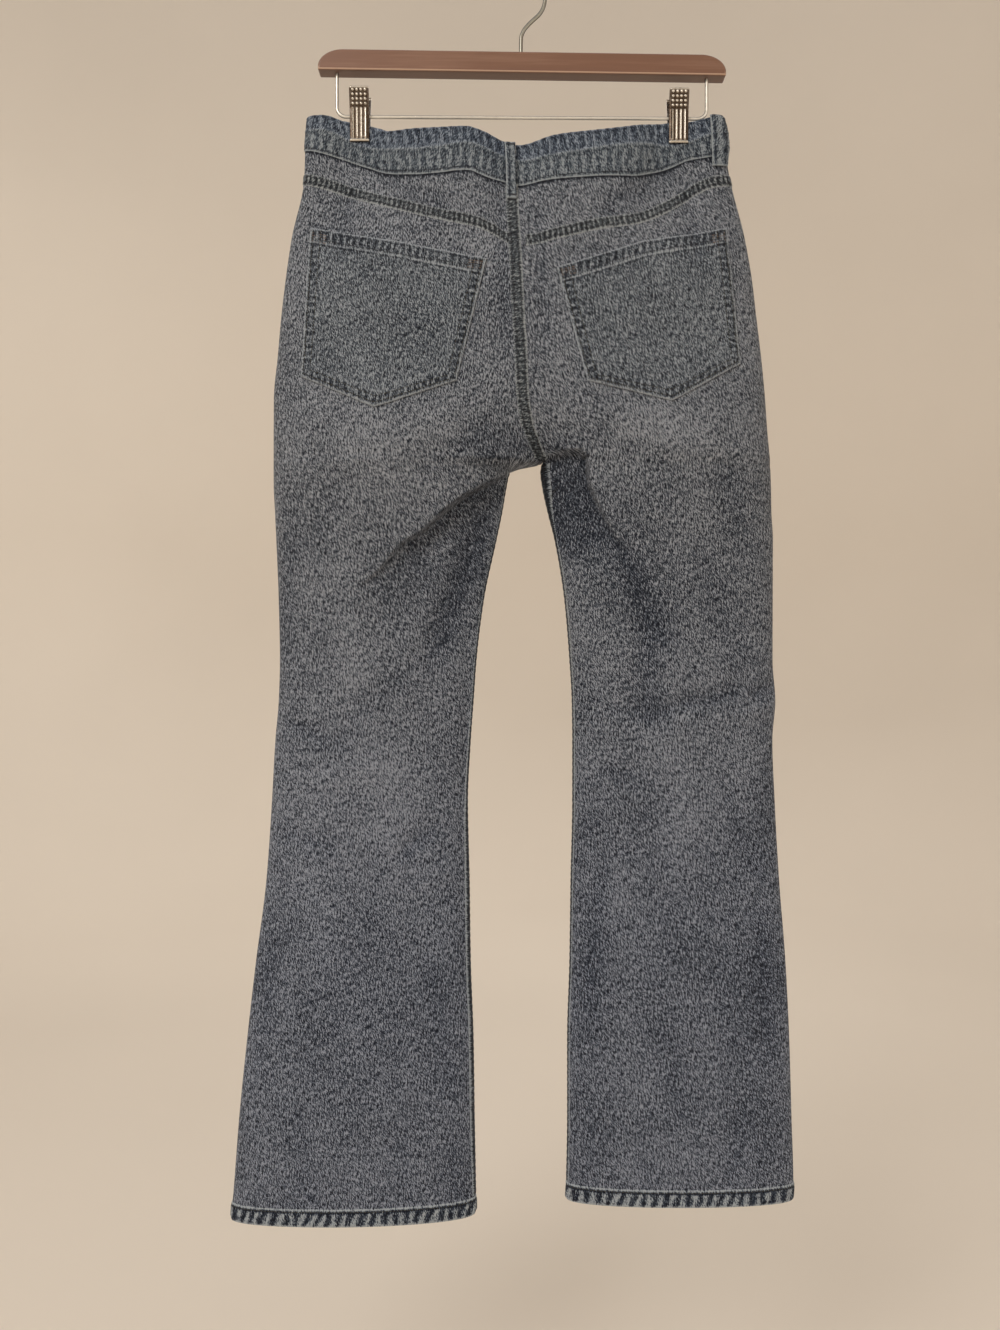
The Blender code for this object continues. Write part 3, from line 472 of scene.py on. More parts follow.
def mark(made: bpy.types.Object, key: str, values: Array) -> None:
    """Gives every point of a mesh its value under a key, for the materials to read."""
    made.data.attributes.new(key, "FLOAT", "POINT").data.foreach_set("value", values.astype(np.float32))


@dataclass
class Sheet:
    """A grid of points across and down a piece of cloth, with what its material reads."""

    points: Array
    normal: Array
    uv: Array
    fields: Dict[str, Array] = field(default_factory=dict)

    def add(self, key: str, value: Array) -> None:
        """Adds to one of the fields."""
        self.fields[key] = self.fields[key] + value

    def build(self, name: str, thick: Array, finishes: Sequence[bpy.types.Material],
              ring: bool = False) -> bpy.types.Object:
        """Closes the grid into a wall, thick millimetres deep.

        Args:
            name: The object's name.
            thick: The wall's depth, one number or one for each point.
            finishes: The outer face's material and the inner face's.
            ring: Whether the last column joins the first.

        Returns:
            The wall, its reverse and edges included.
        """
        rows, cols = self.points.shape[:2]
        count = rows * cols
        depth = np.broadcast_to(thick, (rows, cols))[..., None]
        inner = self.points - self.normal * depth
        points = np.concatenate([self.points.reshape(-1, 3), inner.reshape(-1, 3)])
        r = np.arange(rows - 1)[:, None]
        c = np.arange(cols if ring else cols - 1)[None, :]
        nxt = (c + 1) % cols
        quads = np.stack([r * cols + c, r * cols + nxt, (r + 1) * cols + nxt, (r + 1) * cols + c], -1)
        quads = quads.reshape(-1, 4)
        mid = len(quads) // 2
        a, b, _, d = points[quads[mid]]
        turned = np.dot(np.cross(b - a, d - a), self.normal.reshape(-1, 3)[quads[mid][0]]) < 0
        if turned:
            quads = quads[:, ::-1]
        if ring:
            loops = [[(0, k) for k in range(cols)] + [(0, 0)],
                     [(rows - 1, k) for k in range(cols - 1, -1, -1)] + [(rows - 1, cols - 1)]]
        else:
            path = [(0, k) for k in range(cols)] + [(k, cols - 1) for k in range(1, rows)]
            path += [(rows - 1, k) for k in range(cols - 2, -1, -1)] + [(k, 0) for k in range(rows - 2, -1, -1)]
            loops = [path]
        rim = []
        for path in loops:
            for (r0, c0), (r1, c1) in zip(path, path[1:]):
                i, j = r0 * cols + c0, r1 * cols + c1
                quad = [j, i, i + count, j + count]
                rim.append(quad[::-1] if turned else quad)
        faces = np.concatenate([quads, quads[:, ::-1] + count, np.array(rim)])
        made = new_mesh(name, points, faces.tolist())
        mesh = made.data
        for finish in finishes:
            mesh.materials.append(finish)
        if len(finishes) > 1:
            index = np.zeros(len(faces), np.int32)
            index[len(quads):2 * len(quads)] = 1
            mesh.polygons.foreach_set("material_index", index)
        corners = np.zeros(len(mesh.loops), np.int32)
        mesh.loops.foreach_get("vertex_index", corners)
        uv = np.concatenate([self.uv.reshape(-1, 2)] * 2) * MM
        mesh.uv_layers.new(name="cloth").data.foreach_set("uv", uv[corners].ravel().astype(np.float32))
        for key, value in self.fields.items():
            flat = np.broadcast_to(value, (rows, cols)).reshape(-1)
            mark(made, key, np.concatenate([flat, flat]))
        return made


def join_meshes(name: str, parts: Sequence[Tuple[Array, Sequence[Sequence[int]]]],
                finish: bpy.types.Material) -> bpy.types.Object:
    """One object from many small bodies, each given as points and faces."""
    points, faces, start = [], [], 0
    for part_points, part_faces in parts:
        points.append(part_points)
        faces.extend([[start + index for index in face] for face in part_faces])
        start += len(part_points)
    made = new_mesh(name, np.concatenate(points), faces)
    made.data.materials.append(finish)
    return made


def ring_faces(rings: int, sides: int) -> List[List[int]]:
    """The faces over both end rings and between each ring of points and the next."""
    faces = [list(range(sides))[::-1], [(rings - 1) * sides + k for k in range(sides)]]
    for ring in range(rings - 1):
        for k in range(sides):
            a, b = ring * sides + k, ring * sides + (k + 1) % sides
            faces.append([a, b, b + sides, a + sides])
    return faces


def turned_over(faces: Sequence[Sequence[int]]) -> List[List[int]]:
    """The same faces, each looking the other way."""
    return [[face[0], *face[:0:-1]] for face in faces]


def lathe(profile: Sequence[Tuple[float, float]], sides: int) -> Tuple[Array, List[List[int]]]:
    """A profile of radius and height turned round +Z, closed where its radius is 0.

    Args:
        profile: The profile's rows.
        sides: Number of sides.

    Returns:
        Its points and faces.
    """
    points, faces, last = [], [], None
    for radius, height in profile:
        count = 1 if radius == 0.0 else sides
        ring = [len(points) + k for k in range(count)]
        for k in range(count):
            angle = 2 * math.pi * k / sides
            points.append((radius * math.cos(angle), radius * math.sin(angle), height))
        if last is not None:
            for k in range(sides):
                corners = [last[k % len(last)], ring[k % count],
                           ring[(k + 1) % count], last[(k + 1) % len(last)]]
                faces.append(list(dict.fromkeys(corners)))
        last = ring
    return np.array(points), faces


def stitch_body(start: Array, end: Array, normal: Array, width: float, sides: int = 6
                ) -> Tuple[Array, List[List[int]]]:
    """One stitch: a thread lying from hole to hole, dipping into the cloth at both.

    Args:
        start: Where it comes out of the cloth.
        end: Where it goes back in.
        normal: The cloth's outward direction.
        width: The thread's thickness.
        sides: Number of sides of its round.

    Returns:
        Its points and faces.
    """
    along = end - start
    length = np.linalg.norm(along)
    along = along / max(length, 1e-6)
    across = np.cross(normal, along)
    across /= max(np.linalg.norm(across), 1e-6)
    sink = 0.25
    stations = ((0.0, 0.45, -sink), (0.12, 0.85, 0.15), (0.5, 1.0, 0.3), (0.88, 0.85, 0.15), (1.0, 0.45, -sink))
    points = []
    for part, scale, rise in stations:
        centre = start + along * length * part + normal * rise * width
        for k in range(sides):
            angle = 2 * math.pi * k / sides
            way = across * math.cos(angle) + normal * math.sin(angle) * 0.8
            points.append(centre + way * width / 2 * scale)
    return np.array(points), ring_faces(len(stations), sides)


def tube_body(path: Array, radius: Array, sides: int) -> Tuple[Array, List[List[int]]]:
    """A round tube along a path, closed at both ends, with a frame that doesn't twist.

    Args:
        path: The path's points.
        radius: Its radius, one number or one for each point.
        sides: Number of sides.

    Returns:
        Its points and faces.
    """
    path = np.asarray(path, float)
    radius = np.broadcast_to(radius, (len(path),))
    tangent = np.gradient(path, axis=0)
    tangent /= np.linalg.norm(tangent, axis=1, keepdims=True)
    side = np.cross(tangent[0], (0.0, 1.0, 0.0))
    if np.linalg.norm(side) < 0.2:
        side = np.cross(tangent[0], (1.0, 0.0, 0.0))
    points = []
    for centre, along, reach in zip(path, tangent, radius):
        side = side - along * np.dot(side, along)
        side /= np.linalg.norm(side)
        other = np.cross(along, side)
        for k in range(sides):
            angle = 2 * math.pi * k / sides
            points.append(centre + (side * math.cos(angle) + other * math.sin(angle)) * reach)
    return np.array(points), ring_faces(len(path), sides)


class Noise(Enum):
    """The grains of denim that the cloth's materials mix: across and down in mm, strength."""

    SLUB = (1.0, 7.0, 1.35)
    TWILL = (0.8, 3.2, 2.4)
    GRAIN = (0.65, 0.95, 1.4)
    MOTTLE = (9.0, 16.0, 0.30)
    PATCH = (45.0, 70.0, 0.34)


@dataclass(frozen=True)
class DenimFinish:
    """One wash of denim: its dark, middle and light yarn colours, and its relief."""

    name: str
    dark: Tuple[float, float, float]
    middle: Tuple[float, float, float]
    light: Tuple[float, float, float]
    contrast: float = 1.0
    relief: float = 0.25
    rope_length: float = 0.0
    rope_lean: float = 0.0
    rope_gain: float = 0.5
    rope_sharp: float = 1.4
    rope_stray: float = 0.8
    edge_gain: float = 0.66
    wear_gain: float = 0.30
    shade_gain: float = 0.36


@dataclass(frozen=True)
class PlainFinish:
    """A thread, metal or tape: colour, metal share, roughness, and grain."""

    name: str
    colour: Tuple[float, float, float]
    second: Tuple[float, float, float]
    metallic: float = 0.0
    roughness: float = 0.5
    grain: float = 0.002
    relief: float = 0.1
    mingle: float = 2.4


@dataclass
class NodeSheet:
    """A material's node tree while it is wired."""

    name: str

    def __post_init__(self) -> None:
        """Makes an empty material with its output and shader."""
        self.made = bpy.data.materials.new(self.name)
        self.made.use_nodes = True
        self.tree = self.made.node_tree
        self.shader = self.tree.nodes["Principled BSDF"]

    def node(self, kind: str, **settings: object) -> bpy.types.Node:
        """Adds a node and sets its properties."""
        made = self.tree.nodes.new(kind)
        for key, value in settings.items():
            setattr(made, key, value)
        return made

    def wire(self, source: object, target: bpy.types.NodeSocket) -> None:
        """Links a socket, or sets a plain value."""
        if isinstance(source, bpy.types.NodeSocket):
            self.tree.links.new(source, target)
        else:
            target.default_value = source

    def math(self, operation: str, first: object, second: object = 0.0,
             clamp: bool = False) -> bpy.types.NodeSocket:
        """One step of arithmetic."""
        made = self.node("ShaderNodeMath", operation=operation, use_clamp=clamp)
        self.wire(first, made.inputs[0])
        self.wire(second, made.inputs[1])
        return made.outputs[0]

    def plus(self, total: object, value: object, gain: object) -> bpy.types.NodeSocket:
        """A running total with a value times its gain added."""
        return self.math("ADD", total, self.math("MULTIPLY", value, gain))

    def attribute(self, name: str) -> bpy.types.NodeSocket:
        """A number that the mesh carries at its points."""
        return self.node("ShaderNodeAttribute", attribute_name=name).outputs["Fac"]

    def place(self, scale: Tuple[float, float, float], turn: float = 0.0,
              uv: bool = True) -> bpy.types.NodeSocket:
        """The cloth's own coordinates, turned and then divided by a size in mm.

        Args:
            scale: The sizes in mm that become 1.
            turn: Degrees about the cloth's normal.
            uv: Whether the mesh's own map is read, and not its place in space.

        Returns:
            The coordinates.
        """
        if uv:
            source = self.node("ShaderNodeUVMap", uv_map="cloth").outputs["UV"]
        else:
            source = self.node("ShaderNodeTexCoord").outputs["Object"]
        turned = self.node("ShaderNodeMapping")
        turned.inputs["Rotation"].default_value = (0.0, 0.0, math.radians(turn))
        self.wire(source, turned.inputs["Vector"])
        scaled = self.node("ShaderNodeMapping")
        scaled.inputs["Scale"].default_value = tuple(1000.0 / size for size in scale)
        self.wire(turned.outputs["Vector"], scaled.inputs["Vector"])
        return scaled.outputs["Vector"]

    def noise(self, vector: bpy.types.NodeSocket, detail: float = 2.0,
              rough: float = 0.5) -> bpy.types.NodeSocket:
        """Cloudy noise, about 0.5."""
        made = self.node("ShaderNodeTexNoise")
        made.inputs["Scale"].default_value = 1.0
        made.inputs["Detail"].default_value = detail
        made.inputs["Roughness"].default_value = rough
        self.wire(vector, made.inputs["Vector"])
        return made.outputs["Fac"]

    def colours(self, value: bpy.types.NodeSocket, stops: Sequence[Tuple[float, Tuple[float, float, float]]]
                ) -> bpy.types.NodeSocket:
        """A value read through a ramp of colours."""
        made = self.node("ShaderNodeValToRGB")
        ramp_stops = made.color_ramp.elements
        while len(ramp_stops) < len(stops):
            ramp_stops.new(0.5)
        for stop, (place, colour) in zip(ramp_stops, stops):
            stop.position = place
            stop.color = (*colour, 1.0)
        self.wire(value, made.inputs["Fac"])
        return made.outputs["Color"]

    def bump(self, height: bpy.types.NodeSocket, distance: float, strength: float) -> None:
        """Relief for the shader's normal; distance in millimetres."""
        made = self.node("ShaderNodeBump")
        made.inputs["Distance"].default_value = distance * MM
        made.inputs["Strength"].default_value = strength
        self.wire(height, made.inputs["Height"])
        self.wire(made.outputs["Normal"], self.shader.inputs["Normal"])


def srgb(*colour: float) -> Tuple[float, float, float]:
    """Linear colour from 0-255 values as they are seen."""
    return tuple(((c / 255 + 0.055) / 1.055) ** 2.4 if c > 10 else c / 255 / 12.92 for c in colour)


class Wardrobe:
    """Every material of the piece, made once."""

    DENIM = DenimFinish("denim_washed", srgb(16, 21, 32), srgb(72, 79, 90), srgb(152, 157, 165),
                        contrast=1.3)
    REVERSE = DenimFinish("denim_reverse", srgb(68, 80, 96), srgb(130, 141, 154), srgb(184, 192, 199),
                          contrast=0.7)
    SEAM = DenimFinish("denim_roped_seam", srgb(20, 24, 29), srgb(68, 75, 83), srgb(150, 156, 159),
                       rope_length=4.6, rope_lean=0.15, rope_gain=0.6)
    HEM = DenimFinish("denim_roped_hem", srgb(13, 18, 30), srgb(58, 67, 80), srgb(168, 174, 175),
                      rope_length=9.5, rope_lean=0.25, rope_gain=0.8, rope_sharp=1.1, rope_stray=1.2)
    BAND = DenimFinish("denim_band", srgb(18, 24, 35), srgb(68, 78, 90), srgb(146, 154, 160),
                       rope_length=9.0, rope_gain=0.40, rope_sharp=2.0, rope_stray=1.4)
    POCKET = DenimFinish("denim_pocket", srgb(18, 22, 31), srgb(71, 79, 90), srgb(150, 157, 164),
                         contrast=1.2, rope_length=6.0, rope_lean=0.2, rope_gain=0.6, rope_sharp=1.6)
    THREAD = PlainFinish("thread_navy", srgb(48, 50, 58), srgb(28, 29, 36), roughness=0.8,
                         grain=0.4, relief=0.2)
    THREAD_OLIVE = PlainFinish("thread_olive", srgb(66, 64, 54), srgb(40, 40, 34), roughness=0.8,
                               grain=0.4, relief=0.2)
    THREAD_TAN = PlainFinish("thread_tan", srgb(138, 116, 98), srgb(92, 72, 60), roughness=0.8,
                             grain=0.4, relief=0.2)
    TAPE = PlainFinish("zip_tape_cloth", srgb(44, 46, 56), srgb(30, 31, 40), roughness=0.9,
                       grain=0.6, relief=0.4)
    BRASS = PlainFinish("aged_brass", srgb(168, 132, 92), srgb(110, 84, 60), metallic=1.0,
                        roughness=0.38, grain=1.6)
    # The hook, rod and clips: their light colour shows as painted highlights and their dark second tone as painted
    # shade, where their meshes' edge and shade fields push it.
    STEEL = PlainFinish("hook_steel", srgb(168, 166, 156), srgb(70, 68, 62), metallic=1.0, roughness=0.36,
                        grain=3.0, relief=0.03, mingle=0.4)
    ROD = PlainFinish("rod_steel", srgb(250, 246, 236), srgb(64, 58, 50), metallic=0.4, roughness=0.25,
                      grain=4.0, relief=0.02, mingle=0.3)
    CLIP = PlainFinish("clip_steel", srgb(246, 240, 228), srgb(92, 80, 70), metallic=1.0, roughness=0.28,
                       grain=3.0, relief=0.03, mingle=0.4)
    WOOD_TONES = ((0.1, srgb(104, 78, 66)), (0.5, srgb(126, 90, 71)), (1.0, srgb(190, 158, 136)))
    UNWORN_TINT = (0.90, 0.97, 1.16, 1.0)
    TWILL_LEAN = -27.0

    def __init__(self) -> None:
        """Starts with nothing made."""
        self.made: Dict[str, bpy.types.Material] = {}

    def denim(self, finish: DenimFinish) -> bpy.types.Material:
        """Denim: slubs down the cloth, leaning twill, grain, mottling, and the mesh's own wear and painted shade.

        Args:
            finish: The wash.

        Returns:
            The material.
        """
        if finish.name in self.made:
            return self.made[finish.name]
        sheet = NodeSheet(finish.name)
        tone: object = 0.5
        relief: object = 0.0
        for grain in Noise:
            across, down, strength = grain.value
            turn = self.TWILL_LEAN if grain is Noise.TWILL else 0.0
            cloud = sheet.noise(sheet.place((across, down, 1.0), turn), detail=1.0 if across < 5 else 3.0)
            centred = sheet.math("SUBTRACT", cloud, 0.5)
            tone = sheet.plus(tone, centred, strength * finish.contrast)
            if across < 2:
                relief = sheet.plus(relief, centred, strength)
        fleck = sheet.noise(sheet.place((0.95, 4.2, 1.0)), detail=1.0)
        fleck = sheet.math("POWER", sheet.math("MULTIPLY", fleck, 1.35, clamp=True), 7.0)
        tone = sheet.plus(tone, fleck, 0.5 * finish.contrast)
        ragged = sheet.noise(sheet.place((1.6, 1.6, 1.0)), detail=1.0)
        ragged = sheet.math("ADD", sheet.math("MULTIPLY", ragged, 0.9), 0.45)
        worn = sheet.math("MULTIPLY", sheet.attribute("edge"), ragged)
        tone = sheet.plus(tone, worn, finish.edge_gain)
        tone = sheet.plus(tone, sheet.attribute("wear"), finish.wear_gain)
        # The shade field darkens the colour: painted shade from folds, creases and patches, and on seams, bands and
        # pockets also their darker ground and thread lines.
        tone = sheet.plus(tone, sheet.attribute("shade"), -finish.shade_gain)
        if finish.rope_length:
            rope = self.rope(sheet, finish)
            tone = sheet.plus(tone, rope, finish.rope_gain)
            relief = sheet.plus(relief, rope, 0.8)
        tone = sheet.math("ADD", tone, 0.0, clamp=True)
        colour = sheet.colours(tone, ((0.0, finish.dark), (0.5, finish.middle), (1.0, finish.light)))
        cooler = sheet.node("ShaderNodeMix", data_type="RGBA", blend_type="MULTIPLY")
        cooler.inputs["Factor"].default_value = 1.0
        sheet.wire(colour, cooler.inputs["A"])
        tint = sheet.node("ShaderNodeMix", data_type="RGBA")
        tint.inputs["A"].default_value = (1.0, 1.0, 1.0, 1.0)
        tint.inputs["B"].default_value = self.UNWORN_TINT
        sheet.wire(sheet.attribute("blue"), tint.inputs["Factor"])
        sheet.wire(tint.outputs["Result"], cooler.inputs["B"])
        sheet.wire(cooler.outputs["Result"], sheet.shader.inputs["Base Color"])
        rough = sheet.plus(0.92, tone, -0.12)
        sheet.wire(rough, sheet.shader.inputs["Roughness"])
        sheet.shader.inputs["Specular IOR Level"].default_value = 0.25
        sheet.shader.inputs["Sheen Weight"].default_value = 0.12
        sheet.shader.inputs["Sheen Roughness"].default_value = 0.5
        sheet.bump(relief, finish.relief, 0.6)
        self.made[finish.name] = sheet.made
        return sheet.made

    def rope(self, sheet: NodeSheet, finish: DenimFinish) -> bpy.types.NodeSocket:
        """Light and dark bars along a shrunken seam, from the mesh's distance along it.

        Args:
            sheet: The material under way.
            finish: The wash, with the bars' spacing and lean.

        Returns:
            The bars, about 0, light ones narrower where the finish is sharper.
        """
        along = sheet.attribute("along")
        across = sheet.attribute("across")
        uneven = sheet.noise(sheet.place((finish.rope_length * 2.3, finish.rope_length * 2.3, 1.0)), detail=1.0)
        phase = sheet.math("DIVIDE", along, finish.rope_length)
        phase = sheet.plus(phase, across, finish.rope_lean)
        phase = sheet.plus(phase, uneven, finish.rope_stray)
        wave = sheet.math("MULTIPLY", sheet.math("SINE", sheet.math("MULTIPLY", phase, 2 * math.pi)), 0.5)
        bars = sheet.math("POWER", sheet.math("ADD", wave, 0.5, clamp=True), finish.rope_sharp)
        bars = sheet.math("SUBTRACT", bars, 1 / (finish.rope_sharp + 1.0))
        return sheet.math("MULTIPLY", bars, sheet.attribute("roping"))

    def plain(self, finish: PlainFinish) -> bpy.types.Material:
        """A thread, metal or tape with two mingling tones and a fine grain; the mesh's edge and shade fields paint
        highlights and shade on the wires and clip jaws.

        Args:
            finish: Its colours and surface.

        Returns:
            The material.
        """
        if finish.name in self.made:
            return self.made[finish.name]
        sheet = NodeSheet(finish.name)
        cloud = sheet.noise(sheet.place((finish.grain,) * 3, uv=False), detail=3.0)
        spread = sheet.math("MULTIPLY", sheet.math("SUBTRACT", cloud, 0.5), finish.mingle)
        spread = sheet.math("ADD", spread, 0.5)
        # Painted highlight from the edge field and painted shade from the shade field; only the wires and clip jaws
        # carry them.
        spread = sheet.math("ADD", spread, sheet.attribute("edge"))
        spread = sheet.math("SUBTRACT", spread, sheet.attribute("shade"), clamp=True)
        sheet.wire(sheet.colours(spread, ((0.0, finish.second), (1.0, finish.colour))),
                   sheet.shader.inputs["Base Color"])
        sheet.shader.inputs["Metallic"].default_value = finish.metallic
        rough = sheet.plus(finish.roughness - 0.05, cloud, 0.1)
        sheet.wire(rough, sheet.shader.inputs["Roughness"])
        sheet.bump(cloud, finish.relief, 0.4)
        self.made[finish.name] = sheet.made
        return sheet.made

    def wood(self) -> bpy.types.Material:
        """Varnished wood, its grain running along the bar, with painted shade on its underside and a light lower
        front edge that is partly worn varnish and partly a painted highlight.
        """
        if "varnished_wood" in self.made:
            return self.made["varnished_wood"]
        sheet = NodeSheet("varnished_wood")
        streaks = sheet.noise(sheet.place((60.0, 2.6, 1.5), uv=False), detail=5.0, rough=0.65)
        broad = sheet.noise(sheet.place((120.0, 14.0, 9.0), uv=False), detail=2.0)
        tone = sheet.math("ADD", sheet.math("MULTIPLY", streaks, 0.22), sheet.math("MULTIPLY", broad, 0.24))
        tone = sheet.math("ADD", tone, 0.27)
        # Painted shade on the underside, then the lower front edge's line: worn varnish and a painted highlight.
        tone = sheet.plus(tone, sheet.attribute("shade"), -0.5)
        tone = sheet.math("ADD", tone, sheet.math("MULTIPLY", sheet.attribute("edge"), 0.8), clamp=True)
        sheet.wire(sheet.colours(tone, self.WOOD_TONES), sheet.shader.inputs["Base Color"])
        sheet.shader.inputs["Roughness"].default_value = 0.42
        sheet.shader.inputs["Coat Weight"].default_value = 0.25
        sheet.shader.inputs["Coat Roughness"].default_value = 0.22
        sheet.bump(streaks, 0.15, 0.35)
        self.made["varnished_wood"] = sheet.made
        return sheet.made


@dataclass(frozen=True)
class Patch:
    """A soft patch of wear (positive) or of painted shade, partly darker dye (negative), on one face of the jeans.
    """

    face: Face
    x: float
    drop: float
    wide: float
    tall: float
    strength: float


# Negative rows are mostly painted shade: under the seat, beside the centre belt loop, along the side and inner
# edges and on the thighs, partly darker dye.
BACK_PATCHES: Tuple[Tuple[float, ...], ...] = (
    # x, drop, wide, tall, strength
    (-162, 415, 45, 60, 0.15), (100, 405, 60, 45, 0.12), (-185, 720, 26, 90, 0.22), (-125, 745, 50, 70, 0.26),
    (-104, 676, 40, 40, 0.28), (150, 670, 45, 60, 0.22), (-150, 1040, 60, 30, 0.18), (140, 1030, 60, 30, 0.14),
    (-12, 418, 30, 20, -0.55), (34, 416, 18, 8, -0.45), (-22, 165, 9, 26, -0.45), (-64, 505, 44, 46, -0.24),
    (-90, 580, 50, 60, -0.14), (92, 520, 52, 50, -0.35), (120, 590, 60, 50, -0.18), (50, 480, 26, 40, -0.25),
    (128, 800, 40, 80, -0.24), (-140, 890, 45, 100, -0.18), (218, 700, 18, 260, -0.25), (-52, 880, 14, 170, -0.12),
    (56, 880, 16, 170, -0.14), (200, 900, 30, 160, -0.20))
FRONT_PATCHES: Tuple[Tuple[float, ...], ...] = (
    (-120, 420, 70, 130, 0.50), (118, 420, 70, 130, 0.50), (-125, 720, 50, 90, 0.40), (125, 720, 50, 90, 0.40),
    (-40, 480, 40, 60, -0.4), (60, 480, 40, 60, -0.4))
PATCHES: Tuple[Patch, ...] = tuple(
    [Patch(Face.BACK, *row) for row in BACK_PATCHES] + [Patch(Face.FRONT, *row) for row in FRONT_PATCHES])


@dataclass
class WearAndPaintedShade:
    """Where the cloth has faded, and the painted shade under its folds, in its crease troughs and in its shaded
    patches.
    """

    blue_from: float = 430.0
    blue_to: float = 900.0
    crease_gain: float = 0.22
    fold_deep: Tuple[float, float] = (0.46, 90.0)
    fold_line: Tuple[float, float] = (0.45, 2.5)
    leg_shade: float = 0.1

    def fold_shade(self, garment: Garment, x: Array, drop: Array) -> Array:
        """The dark under the seat's two large folds, sharp at the fold and fading below it.

        Args:
            garment: The cloth's surface.
            x: Places across in millimetres.
            drop: Places down in millimetres.

        Returns:
            The shade at each place.
        """
        xs = [row.x for row in SEAT_FOLD]
        line = smooth_curve(x, xs, [row.drop for row in SEAT_FOLD])
        step = smooth_curve(x, xs, [row.step for row in SEAT_FOLD]) / 16.0
        below = drop - line
        under = ramp(below / 1.2 + 0.5) * sum(
            dark * np.exp(-np.maximum(below, 0) / reach) for dark, reach in (self.fold_deep, self.fold_line))
        seat = np.where(x < 2.0, step * under, 0.0)
        hollow = garment.nook_fold(x, drop, garment.nook_edge) / 11.0
        rim = np.maximum(garment.nook_fold(x, drop, 6.0) / 11.0, 0.0)
        nook = np.where(x > 14.0, 0.75 * ramp(hollow * 1.3) + 1.3 * hollow * (1 - rim), 0.0)
        return seat + nook

    def fields(self, garment: Garment, face: Face, x: Array, drop: Array) -> Dict[str, Array]:
        """What the denim reads at each point of a face.

        Args:
            garment: The cloth's surface.
            face: The face.
            x: Places across in millimetres.
            drop: Places down in millimetres.

        Returns:
            The fields wear, shade (painted shade, partly darker dye), edge and blue.
        """
        wear = np.zeros(np.shape(x))
        shade = np.zeros(np.shape(x))
        for patch in PATCHES:
            if patch.face is not face:
                continue
            soft = np.exp(-((x - patch.x) / patch.wide) ** 2 - ((drop - patch.drop) / patch.tall) ** 2)
            if patch.strength > 0:
                wear = wear + soft * patch.strength
            else:
                shade = shade - soft * patch.strength
        # Creases: painted shade in their troughs, and lighter ridges that are partly fading wear and partly a
        # painted highlight.
        rise = garment.creasing(face, x, drop)
        wear = wear + np.clip(rise, 0, 3) * self.crease_gain
        shade = shade + np.clip(-rise, 0, 3) * self.crease_gain
        shade = shade + self.leg_shade * ramp((drop - 760.0) / 160.0)
        if face is Face.BACK:
            shade = shade + self.fold_shade(garment, x, drop)
        blue = 0.5 * ramp((drop - self.blue_from) / (self.blue_to - self.blue_from))
        blue = blue + 0.2 * np.clip(shade, 0, 1)
        return {"wear": np.clip(wear, 0, 1), "shade": np.clip(shade, 0, 1),
                "edge": np.zeros(np.shape(x)), "blue": blue + np.zeros(np.shape(x))}


def band_lines(across: Array, lines: Sequence[Tuple[float, float, float]]) -> Array:
    """Soft lines along a band, each given as its place, half width and strength."""
    total = np.zeros(np.shape(across))
    for place, half, strength in lines:
        total = total + strength * bell(across, place, half)
    return total


